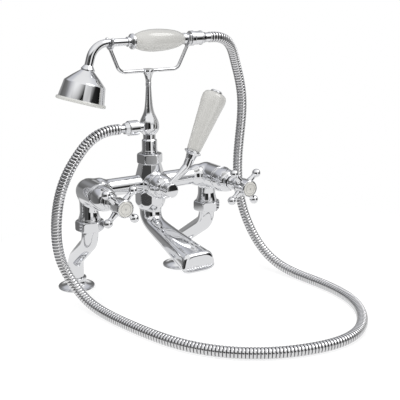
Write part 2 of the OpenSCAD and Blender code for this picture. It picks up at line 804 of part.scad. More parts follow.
// Diverter
module diverter_cover() {
    color(chrome) at_diverter() bell(diverter_rear, diverter_front - diverter_rear);
}
module diverter_spool() {
    spool_d = pocket_d - 2 * run_gap;
    color(brass) at_diverter() difference() {
        union() {
            translate([0, 0, over - pocket_d / 2])
                cylinder(d = spool_d, h = diverter_rear + pocket_d / 2 - 2 * over);
            cylinder(d = spindle_d, h = lever_hub_front + hub_cap_seat);
        }
        translate([0, -pocket_d / 2, 0]) rotate([-90, 0, 0]) cylinder(d = way_d - 4, h = pocket_d);
        translate([-pocket_d / 2, 0, 0]) rotate([0, 90, 0]) cylinder(d = way_d - 4, h = pocket_d);
    }
}
module lever_arm() {
    end_d = lever_end_d - seam;
    rod_r = lever_rod_d / 2 - seam;
    color(chrome) difference() {
        union() {
            at_diverter() translate([0, 0, diverter_front + free_gap])
                cylinder(d = lever_hub_d, h = lever_hub_t);
            at_lever() rotate([0, 0, lever_run_angle]) {
                translate([0, lever_offset, 0]) rotate([0, 90, 0])
                    turned([[0, 0], [rod_r, 0], [rod_r, lever_plain], [end_d / 2, lever_run + lap],
                        [0, lever_run + lap]]);
                translate([lever_run, lever_offset, 0]) rotate([90, 0, 90])
                    bend(lever_bend_r, lever_turn, lever_end_d);
            }
            at_lever_grip() translate([0, 0, -lever_collar_len - lever_rise - lap])
                cylinder(d = end_d, h = lever_rise + lap);
        }
        at_diverter() translate([0, 0, diverter_front])
            cylinder(d = spindle_d + 2 * fit_gap, h = lever_hub_t + 2 * over);
    }
}
module lever_hub_cap() {
    r = lever_hub_d / 2;
    color(chrome) at_diverter() difference() {
        turned([[0, lever_hub_front], [r, lever_hub_front], [r, lever_hub_front + hub_cap_t - 1.6],
            [r - 1.6, lever_hub_front + hub_cap_t], [0, lever_hub_front + hub_cap_t + 0.5]]);
        cylinder(d = spindle_d + 2 * fit_gap, h = lever_hub_front + hub_cap_seat + fit_gap);
    }
}
module lever_collar() {
    foot_r = lever_foot_d / 2;
    flange_r = foot_r + lever_flange_out;
    top = lever_collar_len;
    color(chrome) at_lever_grip() translate([0, 0, -lever_collar_len]) difference() {
        turned([[0, 0], [lever_end_d / 2 + 0.2, 0], [lever_end_d / 2 + 1.2, top - 6],
            [flange_r - 1, top - 3.8], [flange_r, top - 3], [flange_r, top - 1.8], [foot_r + 0.4, top - 0.8],
            [foot_r - 0.4, top], [0, top]]);
        translate([0, 0, lever_collar_len - tie_seat])
            cylinder(d = tie_d + 2 * fit_gap, h = tie_seat + over);
    }
}
module lever_tie_rod() {
    color(brass) at_lever_grip() translate([0, 0, -tie_seat])
        cylinder(d = tie_d, h = tie_seat + lever_grip_len + tie_head);
}
module lever_grip() {
    r = lever_grip_d / 2;
    top = lever_grip_len;
    corner = 6;
    color(ceramic) at_lever_grip() difference() {
        turned(concat([[0, 0], [lever_foot_d / 2 - lever_foot_edge, 0], [lever_foot_d / 2, 1],
            [r - 1.2, top - lever_taper_end], [r, top - lever_swell]],
            curve([r, top - corner], [r - corner, top - 0.5]), [[lever_cap_d / 2, top], [0, top]]));
        translate([0, 0, -over]) cylinder(d = tie_d + 2 * fit_gap, h = top + 2 * over);
    }
}
module lever_cap() {
    r = lever_cap_d / 2;
    color(chrome) at_lever_grip() translate([0, 0, lever_grip_len]) difference() {
        turned([[0, 0], [r, 0], [r, lever_cap_t / 3], [r - 1.6, lever_cap_t - 0.3], [0, lever_cap_t]]);
        translate([0, 0, -over]) cylinder(d = tie_d + 2 * fit_gap, h = over + tie_head);
    }
}

// Riser and cradle
module riser_nut() {
    color(chrome) at_riser() translate([0, 0, riser_nut_top]) rotate([180, 0, riser_nut_turn])
        hex_nut(riser_nut_af, riser_nut_h - 0.5, riser_thread_d + 2 * fit_gap,
            riser_shank_d + 2 * fit_gap, riser_lip);
}
module riser_washer() {
    color(fibre) at_riser() translate([0, 0, riser_stub_z]) ring(riser_thread_d, way_d, riser_washer_t);
}
module riser() {
    bulb_r = bulb_d / 2;
    foot_z = riser_nut_top + 0.3;
    neck_z = outlet_z - bulb_r - 1;
    stem_r = joint_d / 2 - 0.5;
    drop_h = cradle_joint_z - 6 - outlet_z;
    drop_r = [bulb_r - 0.4, bulb_r - 2.5, drop_mid_r, drop_top_r, stem_r + 0.6];
    color(chrome) difference() {
        union() {
            at_riser() turned([[0, riser_low_z], [riser_thread_d / 2, riser_low_z],
                [riser_thread_d / 2, riser_low_z + riser_collar_t],
                [riser_shank_d / 2, riser_low_z + riser_collar_t],
                [riser_shank_d / 2, foot_z], [riser_foot_r, foot_z], [riser_foot_r, foot_z + 3],
                [riser_column_r, foot_z + 4.2], [riser_column_r, neck_z - 4], [riser_waist_r, neck_z - 2],
                [riser_waist_r, neck_z + 4], [0, neck_z + 4]]);
            at_riser() translate([0, 0, outlet_z]) sphere(r = bulb_r);
            at_riser() turned(concat([[0, outlet_z]],
                [for (k = [0:4]) [drop_r[k], outlet_z + drop_h * drop_shares[k]]],
                [[stem_r, cradle_joint_z - 2.4], [joint_d / 2, cradle_joint_z - 2],
                [joint_d / 2, cradle_joint_z], [0, cradle_joint_z]]));
            at_outlet() cylinder(d = outlet_stub_d, h = outlet_stub_x + over);
            at_outlet() translate([0, 0, outlet_stub_x])
                cylinder(d = outlet_thread_d - 2 * fit_gap, h = outlet_thread_len);
        }
        at_riser() translate([0, 0, riser_low_z - over])
            cylinder(d = riser_bore_d, h = outlet_z - riser_low_z + over);
        at_outlet() cylinder(d = riser_bore_d, h = outlet_end_x);
    }
}
module fork(gap) {
    r = gap + rod_d / 2;
    tip = prong_h - rod_d / 2;
    rotate([0, 90, 0]) rotate([0, 0, -90]) rotate_extrude(angle = 180) translate([r, 0]) circle(d = rod_d);
    for (side = [-1, 1]) translate([0, side * r, 0]) {
        translate([0, 0, -lap]) cylinder(d = rod_d - seam, h = tip + lap);
        translate([0, 0, tip]) sphere(d = rod_d + prong_ball);
    }
}
// Half of the bar, a rounded corner and a slanted rod that carries a fork
module cradle_arm(side, bend_x, out_x, fork_z, gap) {
    rise = fork_z - gap - rod_d / 2 - cradle_z;
    out = out_x - bend_x;
    turn = atan2(rise, out);
    cut = corner_r * tan(turn / 2);
    run_d = rod_d - seam;
    translate([0, -body_reach, cradle_z]) rotate([0, 0, side > 0 ? 0 : 180]) {
        rotate([0, 90, 0]) cylinder(d = run_d, h = bend_x - cut + lap);
        translate([bend_x - cut, 0, corner_r]) rotate([90, 0, 0]) rotate([0, 0, -90])
            rotate_extrude(angle = turn) translate([corner_r, 0]) circle(d = rod_d);
        translate([bend_x, 0, 0]) rotate([0, 90 - turn, 0]) translate([0, 0, cut - lap])
            cylinder(d = run_d, h = norm([out, rise]) - cut + lap);
        translate([out_x, 0, fork_z - cradle_z]) fork(gap);
    }
}
module cradle() {
    hub_top = cradle_z + rod_d / 2 + 0.4;
    color(chrome) {
        at_riser() turned(concat([[0, cradle_joint_z], [joint_d / 2, cradle_joint_z],
            [joint_d / 2, cradle_joint_z + 2]],
            curve([joint_d / 2 - 0.3, cradle_joint_z + 2], [cradle_hub_r, cradle_z - 1.6]),
            [[cradle_hub_r, hub_top - 1.4], [cradle_hub_r - 1.4, hub_top], [0, hub_top]]));
        cradle_arm(-1, left_bend_x, left_fork_x, handset_at(-left_fork_x)[2], left_fork_gap);
        cradle_arm(1, right_bend_x, right_fork_x, handset_at(right_fork_x)[2], right_fork_gap);
    }
}

// Hose and its end fittings
module hose_nut(d, len, thread_d, lip_bore) {
    difference() {
        turned([[0, 0], [d / 2 - 0.8, 0], [d / 2, 0.8], [d / 2, len - 5], [d / 2 - 2.4, len - 0.6],
            [d / 2 - 3, len], [0, len]]);
        translate([0, 0, -over]) cylinder(d = thread_d, h = len - nut_lip + over);
        cylinder(d = lip_bore, h = len + over);
    }
}
module ferrule(d, collar_z, end_z) {
    difference() {
        union() {
            translate([0, 0, collar_z]) cylinder(d = ferrule_collar_d - 2 * fit_gap, h = ferrule_collar_t);
            translate([0, 0, collar_z]) cylinder(d = d, h = end_z - collar_z);
        }
        translate([0, 0, collar_z - over]) cylinder(d = ferrule_bore_d, h = end_z - collar_z + 2 * over);
    }
}
module outlet_washer() {
    color(rubber) at_outlet() translate([0, 0, outlet_thread_end])
        ring(outlet_thread_d - 2 * fit_gap, riser_bore_d, hose_washer_t);
}
module outlet_hose_nut() {
    color(chrome) at_outlet() translate([0, 0, outlet_stub_x])
        hose_nut(outlet_nut_d, outlet_nut_len, outlet_thread_d, ferrule_d + 2 * fit_gap);
}
module outlet_ferrule() {
    color(chrome) at_outlet() ferrule(ferrule_d, outlet_thread_end + hose_washer_t, outlet_end_x);
}
module shower_hose() {
    rings = 2 * ribs + 1;
    crest = hose_d / 2;
    skin = [for (k = [0:rings - 1]) each
        hose_ring(hose_len * k / (rings - 1), k % 2 == 0 ? crest - rib_depth : crest)];
    bore_rings = ribs / 2 + 1;
    bore = [for (k = [0:bore_rings - 1]) each hose_ring(hose_len * k / (bore_rings - 1), hose_bore_d / 2)];
    n = hose_sides;
    b = len(skin);
    last = n * (rings - 1);
    bore_last = b + n * (bore_rings - 1);
    skin_faces = [for (k = [0:rings - 2]) for (j = [0:n - 1]) let (p = n * k + j, q = n * k + (j + 1) % n)
        each [[p, p + n, q], [q, p + n, q + n]]];
    bore_faces = [for (k = [0:bore_rings - 2]) for (j = [0:n - 1])
        let (p = b + n * k + j, q = b + n * k + (j + 1) % n) each [[p, q, p + n], [q, q + n, p + n]]];
    start_faces = [for (j = [0:n - 1]) let (i = (j + 1) % n) each [[j, i, b + j], [i, b + i, b + j]]];
    end_faces = [for (j = [0:n - 1]) let (i = (j + 1) % n)
        each [[last + j, bore_last + j, last + i], [last + i, bore_last + j, bore_last + i]]];
    faces = concat(skin_faces, bore_faces, start_faces, end_faces);
    color("lightgray") polyhedron(concat(skin, bore), faces, 4);
}

// Hand shower
module handset_neck() {
    color(chrome) difference() {
        neck_solid(tube_d, 0);
        neck_solid(tube_bore_d, over);
    }
}
module neck_solid(d, extra) {
    run_d = d - seam;
    along_handset() translate([0, 0, -neck_start - lap])
        cylinder(d = run_d, h = neck_start + grip_right + extra + lap);
    at_handset() translate([-neck_start, 0, 0]) rotate([0, -90, 0]) rotate([0, 0, 180])
        bend(neck_bend_r, neck_angle, d);
    at_rose() translate([0, 0, rose_h - rose_socket - extra])
        cylinder(d = run_d, h = rose_drop - rose_h + rose_socket + extra + lap);
}
module neck_bead() {
    r = bead_d / 2;
    color(chrome) along_handset() translate([0, 0, -cup_left - bead_t]) difference() {
        turned([[0, 0], [r - 1.2, 0], [r, 1.2], [r, bead_t - 1.2], [r - 1.2, bead_t], [0, bead_t]]);
        translate([0, 0, -over]) cylinder(d = tube_d + 2 * fit_gap, h = bead_t + 2 * over);
    }
}
module grip_cup() {
    r = cup_d / 2;
    color(chrome) along_handset() translate([0, 0, -cup_left]) difference() {
        turned([[0, 0], [r - 3, 0], [r, 2.4], [r, cup_t - 1], [r - 0.8, cup_t], [0, cup_t]]);
        translate([0, 0, -over]) cylinder(d = tube_d + 2 * fit_gap, h = cup_t + 2 * over);
        translate([0, 0, cup_left - grip_left]) cylinder(d = grip_left_d + 2 * fit_gap, h = cup_t);
    }
}
module handset_grip() {
    r = grip_d / 2;
    end_r = grip_right_d / 2;
    color(ceramic) along_handset() difference() {
        turned(concat([[0, -grip_left], [grip_left_d / 2, -grip_left], [grip_left_d / 2, cup_t - cup_left]],
            [for (k = [0:10]) let (a = grip_left_turn * (k / 10 - 1))
                [r * (1 - grip_left_share * (1 - cos(a))), grip_mid + grip_left_run * sin(a)]],
            [for (k = [1:8]) let (a = 90 * k / 8)
                [end_r + (r - end_r) * pow(cos(a), grip_right_power), grip_mid + grip_right_run * sin(a)]],
            [[end_r, grip_right], [0, grip_right]]));
        translate([0, 0, -grip_left - over])
            cylinder(d = tube_d + 2 * fit_gap, h = grip_left + grip_right + 2 * over);
    }
}
module handset_tail() {
    color(chrome) along_handset() difference() {
        turned([[0, grip_right], [tail_flange_d / 2, grip_right], [tail_flange_d / 2, tail_groove_start],
            [groove_d / 2, tail_groove_start], [groove_d / 2, tail_groove_end],
            [tail_collar_d / 2 - 2, tail_groove_end], [tail_collar_d / 2, tail_groove_end + 2],
            [tail_collar_d / 2, tail_collar_end - 1], [tail_collar_d / 2 - 1, tail_collar_end],
            [tail_thread_d / 2 - fit_gap, tail_collar_end],
            [tail_thread_d / 2 - fit_gap, tail_collar_end + tail_thread_len],
            [0, tail_collar_end + tail_thread_len]]);
        translate([0, 0, grip_right - over])
            cylinder(d = tube_bore_d, h = tail_collar_end + tail_thread_len - grip_right + 2 * over);
    }
}
module tail_washer() {
    color(rubber) along_handset() translate([0, 0, tail_thread_end])
        ring(tail_thread_d - 2 * fit_gap, tube_bore_d, hose_washer_t);
}
module tail_hose_nut() {
    color(chrome) along_handset() translate([0, 0, tail_collar_end])
        hose_nut(tail_nut_d, tail_nut_len, ferrule_collar_d, tail_ferrule_d + 2 * fit_gap);
}
module tail_ferrule() {
    color(chrome) along_handset() ferrule(tail_ferrule_d, tail_thread_end + hose_washer_t, tail_end);
}

// Rose
// A skirt, a rounded shoulder and a slightly hollow cone up to the crown
function rose_outline(inset) = [
    [skirt_r - inset, rim_t / 2], [shoulder_r - inset, shoulder_z - shoulder_edge],
    [shoulder_r - 0.8 - inset, shoulder_z - 0.8 - inset],
    [shoulder_r - shoulder_edge - inset, shoulder_z - inset],
    [(shoulder_r + crown_r) / 2 - cone_hollow - inset, (shoulder_z + crown_z) / 2 - inset],
    [crown_r - inset, crown_z - inset]];
module rose_bell() {
    color(chrome) at_rose() difference() {
        turned(concat([[0, rim_t / 2]], rose_outline(0),
            [[crown_r, crown_z + 2], [tube_d / 2 + 2.4, crown_z + 2.4], [tube_d / 2 + 1, rose_h],
            [0, rose_h]]));
        turned(concat([[0, rim_t / 2 - over], [skirt_r - rose_wall, rim_t / 2 - over]],
            rose_outline(rose_wall), [[0, crown_z - rose_wall]]));
        translate([0, 0, rose_h - rose_socket]) cylinder(d = tube_d + 2 * fit_gap, h = rose_socket + over);
        translate([0, 0, crown_z - 2 * rose_wall]) cylinder(d = tube_bore_d, h = rose_h);
    }
}
module rose_rim() {
    r = rim_d / 2;
    color(chrome) at_rose() difference() {
        turned([[0, -rim_t / 2], [r - rim_edge, -rim_t / 2], [r, rim_edge - rim_t / 2],
            [r, rim_t / 2 - rim_edge], [r - rim_edge, rim_t / 2], [0, rim_t / 2]]);
        translate([0, 0, -rim_t]) cylinder(d = rim_d - 2 * rim_w, h = 2 * rim_t);
    }
}
module rose_face() {
    face_t = rim_t / 2;
    color(chrome) at_rose() difference() {
        translate([0, 0, -face_t / 2]) cylinder(d = rim_d - 2 * rim_w - 2 * fit_gap, h = face_t);
        for (n = [1:jet_rings]) for (k = [0:6 * n - 1]) rotate([0, 0, 60 * k / n])
            translate([jet_pitch * n, 0, -face_t]) cylinder(d = jet_d, h = 2 * face_t);
    }
}

leg(hot);  // hot_leg
leg(cold);  // cold_leg
flange(hot);  // hot_flange
flange(cold);  // cold_flange
deck_washer(hot);  // hot_deck_washer
deck_washer(cold);  // cold_deck_washer
back_nut(hot);  // hot_back_nut
back_nut(cold);  // cold_back_nut
union_nut(hot);  // hot_union_nut
union_nut(cold);  // cold_union_nut
union_washer(hot);  // hot_union_washer
union_washer(cold);  // cold_union_washer
mixer_body();
spout();
valve_cover(hot);  // hot_valve_cover
valve_cover(cold);  // cold_valve_cover
cartridge(hot);  // hot_cartridge
cartridge(cold);  // cold_cartridge
spindle(hot);  // hot_spindle
spindle(cold);  // cold_spindle
crosshead(hot, hot_turn);  // hot_crosshead
crosshead(cold, cold_turn);  // cold_crosshead
handle_screw(hot);  // hot_handle_screw
handle_screw(cold);  // cold_handle_screw
index_disc(hot);  // hot_index
index_disc(cold);  // cold_index
diverter_cover();
diverter_spool();
lever_arm();
lever_hub_cap();
lever_collar();
lever_tie_rod();
lever_grip();
lever_cap();
riser_nut();
riser_washer();
riser();
cradle();
outlet_washer();
outlet_hose_nut();
outlet_ferrule();
shower_hose();
handset_neck();
neck_bead();
grip_cup();
handset_grip();
handset_tail();
tail_washer();
tail_hose_nut();
tail_ferrule();
rose_bell();
rose_rim();
rose_face();
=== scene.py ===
import math

import bmesh
import bpy
import numpy as np
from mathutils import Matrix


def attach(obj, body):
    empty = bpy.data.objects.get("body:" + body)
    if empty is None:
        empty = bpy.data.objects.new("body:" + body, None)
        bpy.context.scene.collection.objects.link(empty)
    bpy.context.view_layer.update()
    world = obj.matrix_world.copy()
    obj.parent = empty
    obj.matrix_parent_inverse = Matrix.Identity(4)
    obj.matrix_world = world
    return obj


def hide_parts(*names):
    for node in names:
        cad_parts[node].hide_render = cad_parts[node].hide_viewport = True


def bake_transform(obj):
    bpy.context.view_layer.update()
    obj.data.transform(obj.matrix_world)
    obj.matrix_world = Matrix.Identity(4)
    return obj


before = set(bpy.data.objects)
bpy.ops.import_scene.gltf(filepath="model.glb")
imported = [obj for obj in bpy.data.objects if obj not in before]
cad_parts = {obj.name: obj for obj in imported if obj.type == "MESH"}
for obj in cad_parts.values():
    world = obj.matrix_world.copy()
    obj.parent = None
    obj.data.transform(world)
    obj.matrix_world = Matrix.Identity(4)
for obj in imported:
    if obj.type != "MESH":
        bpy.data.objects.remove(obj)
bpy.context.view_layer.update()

import openvdb
from mathutils import Matrix, Vector


# Camera: a short telephoto to the left of the front and a little above the valves, as in the photo.
# It looks slightly down at the whole object.
camera = bpy.data.objects.new("camera", bpy.data.cameras.new("camera"))
camera.data.lens = 72
camera.data.sensor_width = 36
camera.location = (-0.5015, -0.9767, 0.4108)
camera.rotation_euler = (math.radians(74.75), 0, math.radians(-32.49))
bpy.context.scene.collection.objects.link(camera)
bpy.context.scene.camera = camera
bpy.context.scene.view_settings.view_transform = "Standard"


# Floor: a plain pale sheet in the plane of the deck. It keeps the soft shadow under the object and
# turns to plain white away from it, so that it shows no horizon. Metal sees it as a round pale table.
def wired(link, joins):
    """Links nodes of a tree; each join is a node, its output, the next node and its input."""
    for first, output, last, socket in joins:
        link(first.outputs[output], last.inputs[socket])


FLOOR_HALF, FLOOR_Z = 6.0, -0.0004
TABLE_R, TABLE_END = 0.45, 0.5
floor = bpy.data.objects.new("floor", bpy.data.meshes.new("floor"))
floor.data.from_pydata([(x * FLOOR_HALF, y * FLOOR_HALF, FLOOR_Z)
                        for x, y in ((-1, -1), (1, -1), (1, 1), (-1, 1))], [], [(0, 1, 2, 3)])
bpy.context.scene.collection.objects.link(floor)
paper = bpy.data.materials.new("paper")
paper.use_nodes = True
paper_nodes = paper.node_tree.nodes
paper_shader, paper_end = paper_nodes["Principled BSDF"], paper_nodes["Material Output"]
paper_shader.inputs["Base Color"].default_value = (0.5, 0.5, 0.5, 1)
paper_shader.inputs["Roughness"].default_value = 0.9
paper_shader.inputs["Specular IOR Level"].default_value = 0
paper_shader.inputs["Emission Color"].default_value = (1, 1, 1, 1)
paper_shader.inputs["Emission Strength"].default_value = 0.68
paper_place = paper_nodes.new("ShaderNodeTexCoord")
paper_reach = paper_nodes.new("ShaderNodeVectorMath")
paper_reach.operation = "LENGTH"
paper_fade = paper_nodes.new("ShaderNodeMapRange")
paper_fade.inputs["From Min"].default_value = TABLE_R
paper_fade.inputs["From Max"].default_value = TABLE_END
paper_white = paper_nodes.new("ShaderNodeEmission")
paper_open = paper_nodes.new("ShaderNodeBsdfTransparent")
paper_rays = paper_nodes.new("ShaderNodeLightPath")
paper_dim = paper_nodes.new("ShaderNodeEmission")
paper_dim.inputs["Color"].default_value = (0.86, 0.86, 0.86, 1)
paper_grey = paper_nodes.new("ShaderNodeMixShader")
paper_far = paper_nodes.new("ShaderNodeMixShader")
paper_mix = paper_nodes.new("ShaderNodeMixShader")
paper_centre = paper_nodes.new("ShaderNodeVectorMath")
paper_centre.inputs[1].default_value = (-0.1, 0.2, 0)
wired(paper.node_tree.links.new, [
    (paper_place, "Object", paper_centre, 0), (paper_centre, "Vector", paper_reach, 0),
    (paper_reach, "Value", paper_fade, "Value"), (paper_rays, "Is Glossy Ray", paper_far, "Fac"),
    (paper_white, "Emission", paper_far, 1), (paper_open, "BSDF", paper_far, 2),
    (paper_fade, "Result", paper_mix, "Fac"), (paper_rays, "Is Glossy Ray", paper_grey, "Fac"),
    (paper_shader, "BSDF", paper_grey, 1), (paper_dim, "Emission", paper_grey, 2),
    (paper_grey, "Shader", paper_mix, 1), (paper_far, "Shader", paper_mix, 2),
    (paper_mix, "Shader", paper_end, "Surface")])
paper.cycles.emission_sampling = "NONE"
floor.data.materials.append(paper)


# Studio: white for the camera. Metal sees a dark room with a white strip in front, dark upright screens,
# a softbox above on the right and a grey-blue ceiling, which draw the streaks of the photo's chrome.
world = bpy.data.worlds.new("studio")
bpy.context.scene.world = world
world.use_nodes = True
world.cycles.sampling_method = "NONE"
sky = world.node_tree.nodes
sky_link = world.node_tree.links.new


def sky_math(operation, first, second):
    """A math node on two sockets or numbers."""
    node = sky.new("ShaderNodeMath")
    node.operation = operation
    for socket, value in zip(node.inputs, (first, second)):
        if isinstance(value, (int, float)):
            socket.default_value = value
        else:
            sky_link(value, socket)
    return node.outputs[0]


def sky_ramp(value, low, high, stops):
    """Colours or greys along a value, each stop at its place between low and high."""
    node = sky.new("ShaderNodeValToRGB")
    sky_link(sky_math("DIVIDE", sky_math("SUBTRACT", value, low), high - low), node.inputs["Fac"])
    elements = node.color_ramp.elements
    for index, (place, colour) in enumerate(stops):
        stop = elements[index] if index < 2 else elements.new(1)
        stop.position = (place - low) / (high - low)
        stop.color = (*colour, 1) if isinstance(colour, tuple) else (colour, colour, colour, 1)
    return node.outputs["Color"]


def sky_mix(share, first, second):
    """One colour over another."""
    node = sky.new("ShaderNodeMix")
    node.data_type = "RGBA"
    for label, value in (("Factor", share), ("A", first), ("B", second)):
        if isinstance(value, tuple):
            node.inputs[label].default_value = (*value, 1)
        else:
            sky_link(value, node.inputs[label])
    return node.outputs["Result"]


sky_axes = sky.new("ShaderNodeSeparateXYZ")
sky_way = sky.new("ShaderNodeTexCoord").outputs["Generated"]
sky_link(sky_way, sky_axes.inputs[0])
height = sky_axes.outputs["Z"]
turn = sky_math("ARCTAN2", sky_axes.outputs["X"], sky_math("MULTIPLY", sky_axes.outputs["Y"], -1))
bearing = sky_math("MULTIPLY", turn, 180 / math.pi)
walls = sky_ramp(bearing, -180, 180, [
    (-180, 0.3), (-160, 0.35), (-135, 0.16), (-100, 0.14), (-62, 0.06), (-50, 0.1), (-37, 0.06),
    (-33, 0.005), (-13, 0.01), (-8, 0.8), (0, 0.95), (17, 0.95), (23, 0.03), (73, 0.005), (80, 0.6),
    (110, 0.7), (180, 0.3)])
screens = sky_ramp(bearing, -180, 180, [
    (-180, 0), (-84, 0), (-76, 1.0), (-14, 1.0), (-9, 0), (37, 0), (43, 1.0), (70, 1.0), (76, 0), (180, 0)])
screen_top = sky_ramp(height, -1, 1, [(-1, 1.0), (0.4, 1.0), (0.55, 0), (1, 0)])
wall_top = sky_ramp(height, -1, 1, [(-1, 1.0), (0.12, 1.0), (0.26, 0), (1, 0)])
front = sky_ramp(height, -1, 1, [(-1, 0.5), (0.2, 0.55), (0.34, 0.7), (0.46, 1.0), (1, 0.95)])
behind = sky_ramp(height, -1, 1, [(-1, 0.12), (0.2, 0.12), (0.42, 0.2), (0.6, (0.58, 0.59, 0.63)),
                                  (0.78, (0.66, 0.67, 0.71)), (0.9, 0.9), (1, 0.95)])
far_side = sky_ramp(bearing, -180, 180, [
    (-180, 1.0), (-112, 1.0), (-70, 0), (70, 0), (112, 1.0), (180, 1.0)])
SOFTBOX_WAY, SOFTBOX_LIGHT = (0.475, -0.39, 0.789), (4.5, 4.5, 4.5)
toward = sky.new("ShaderNodeVectorMath")
toward.operation = "DOT_PRODUCT"
toward.inputs[1].default_value = SOFTBOX_WAY
sky_link(sky_way, toward.inputs[0])
softbox = sky_ramp(toward.outputs["Value"], -1, 1, [(-1, 0), (0.95, 0), (0.972, 1.0), (1, 1.0)])
upper = sky_mix(softbox, sky_mix(far_side, front, behind), SOFTBOX_LIGHT)
share = sky_math("MAXIMUM", wall_top, sky_math("MULTIPLY", screens, screen_top))
seen_by_metal = sky_mix(share, upper, walls)
rays = sky.new("ShaderNodeLightPath").outputs
lit = sky_mix(rays["Is Glossy Ray"], (0.45, 0.45, 0.45), seen_by_metal)
clear = sky_math("MAXIMUM", rays["Is Camera Ray"], rays["Is Transmission Ray"])
sky_link(sky_mix(clear, lit, (1.0, 1.0, 1.0)), sky["Background"].inputs["Color"])


# Lamps: a large soft panel overhead and one at each side of the camera, all aimed at the valves.
# Metal doesn't mirror them, because the studio holds what it shows.
LAMPS = {"lamp_top": ((-0.2, -0.3, 1.5), 1.2, 9.0), "lamp_left": ((-1.5, -0.7, 0.9), 0.8, 7.0),
         "lamp_right": ((1.1, -1.3, 0.8), 0.7, 4.0)}
LAMPS_AIM = Vector((0, -0.06, 0.16))
for name, (place, side, power) in LAMPS.items():
    lamp = bpy.data.objects.new(name, bpy.data.lights.new(name, "AREA"))
    lamp.data.size = side
    lamp.data.energy = power
    lamp.location = place
    lamp.rotation_euler = (LAMPS_AIM - Vector(place)).to_track_quat("-Z", "Y").to_euler()
    bpy.context.scene.collection.objects.link(lamp)
    lamp.visible_glossy = False


# Shower hose: a chrome-plated metal hose of interlocked ribs over an inner tube, which is painted near black
# as painted shade in the gaps between the ribs. It leaves the riser's outlet, falls to the deck, lies there
# in a wide bow and climbs to the hand shower.
def bspline(points, steps):
    """A uniform cubic curve along the points, from the first to the last."""
    points = [Vector(p) for p in points]
    points = [2 * points[0] - points[1], *points, 2 * points[-1] - points[-2]]
    line = []
    for a, b, c, d in zip(points, points[1:], points[2:], points[3:]):
        for k in range(steps):
            t = k / steps
            line.append(((1 - t) ** 3 * a + (3 * t ** 3 - 6 * t * t + 4) * b
                         + (-3 * t ** 3 + 3 * t * t + 3 * t + 1) * c + t ** 3 * d) / 6)
    return line + [points[-2]]


MM = Matrix.Scale(0.001, 4)
REACH, OUTLET_Z = 65, 228
HANDSET_Z, HANDSET_TILT = 338.5, math.radians(0.7)
along_handset = MM @ Matrix.Translation((0, -REACH, HANDSET_Z)) \
    @ Matrix.Rotation(math.pi / 2 - HANDSET_TILT, 4, "Y")
HOSE_START, HOSE_END = (45.4, 59.4), (108.4, 94.4)
HOSE_ROUTE = [
    (-75, -65, 224), (-90, -64, 214), (-104, -63, 197), (-118, -61, 176), (-128, -58, 148), (-132, -55, 116),
    (-132, -53, 84), (-127, -55, 56), (-117, -66, 32), (-109, -88, 14), (-101, -120, 7), (-93, -162, 7),
    (-81, -210, 7), (-64, -256, 7), (-34, -296, 7), (7, -325, 7), (53, -341, 7), (98, -346, 7),
    (137, -334, 7), (170, -304, 7), (194, -264, 7), (202, -220, 7), (199, -176, 7), (193, -136, 7),
    (186, -102, 14), (178, -76, 32), (170, -58, 60), (164, -44, 94), (163, -35, 134), (168, -30, 175),
    (174, -29, 213), (174, -31, 249), (166, -33, 280), (154.5, -38, 304), (142.5, -49, 321.5),
    (126, -60, 334.5)]
hose_starts = [(-u, -REACH, OUTLET_Z) for u in HOSE_START]
hose_ends = [along_handset @ Vector((0, 0, u)) for u in HOSE_END]
hose_points = [MM @ Vector(p) for p in [*hose_starts, *HOSE_ROUTE]] + hose_ends
hose_line = bspline(hose_points, 12)
hose_len = sum((b - a).length for a, b in zip(hose_line, hose_line[1:]))


def finish_group(name, sockets):
    """A shader node group with its named sockets, and its first and last node."""
    group = bpy.data.node_groups.new(name, "ShaderNodeTree")
    for label, kind, way in sockets:
        group.interface.new_socket(label, in_out=way, socket_type="NodeSocket" + kind)
    return group, group.nodes.new("NodeGroupInput"), group.nodes.new("NodeGroupOutput")


# Every polished surface carries faint wipe marks, which change its gloss, and a slight waviness
polish, inside, outside = finish_group("polish", [
    ("Smooth", "Float", "INPUT"), ("Dull", "Float", "INPUT"), ("Wave", "Float", "INPUT"),
    ("Roughness", "Float", "OUTPUT"), ("Normal", "Vector", "OUTPUT")])
where = polish.nodes.new("ShaderNodeTexCoord")
wipe = polish.nodes.new("ShaderNodeTexNoise")
wipe.inputs["Scale"].default_value = 60
wipe.inputs["Detail"].default_value = 4
gloss = polish.nodes.new("ShaderNodeMapRange")
gloss.inputs["From Min"].default_value = 0.45
gloss.inputs["From Max"].default_value = 0.75
wave = polish.nodes.new("ShaderNodeTexNoise")
wave.inputs["Scale"].default_value = 90
wave.inputs["Detail"].default_value = 1
swell = polish.nodes.new("ShaderNodeBump")
swell.inputs["Distance"].default_value = 0.001
wired(polish.links.new, [
    (where, "Object", wipe, "Vector"), (where, "Object", wave, "Vector"), (wipe, "Fac", gloss, "Value"),
    (inside, "Smooth", gloss, "To Min"), (inside, "Dull", gloss, "To Max"),
    (inside, "Wave", swell, "Strength"), (wave, "Fac", swell, "Height"),
    (gloss, "Result", outside, "Roughness"), (swell, "Normal", outside, "Normal")])


def metal(name, colour, smooth, dull, wave_height=0.02):
    """A metal with the polish group's gloss and waviness."""
    material = bpy.data.materials.new(name)
    material.use_nodes = True
    nodes = material.node_tree.nodes
    shader = nodes["Principled BSDF"]
    shader.inputs["Base Color"].default_value = (*colour, 1)
    shader.inputs["Metallic"].default_value = 1
    marks = nodes.new("ShaderNodeGroup")
    marks.node_tree = polish
    marks.inputs["Smooth"].default_value = smooth
    marks.inputs["Dull"].default_value = dull
    marks.inputs["Wave"].default_value = wave_height
    material.node_tree.links.new(marks.outputs["Roughness"], shader.inputs["Roughness"])
    material.node_tree.links.new(marks.outputs["Normal"], shader.inputs["Normal"])
    return material


hose_chrome = metal("hose_chrome", (0.78, 0.78, 0.79), 0.05, 0.1)
# The inner tube is a real part; its near-black colour is painted shade for the gaps between the ribs.
shaded_hose_core = metal("shaded_hose_core", (0.02, 0.02, 0.02), 0.4, 0.5)


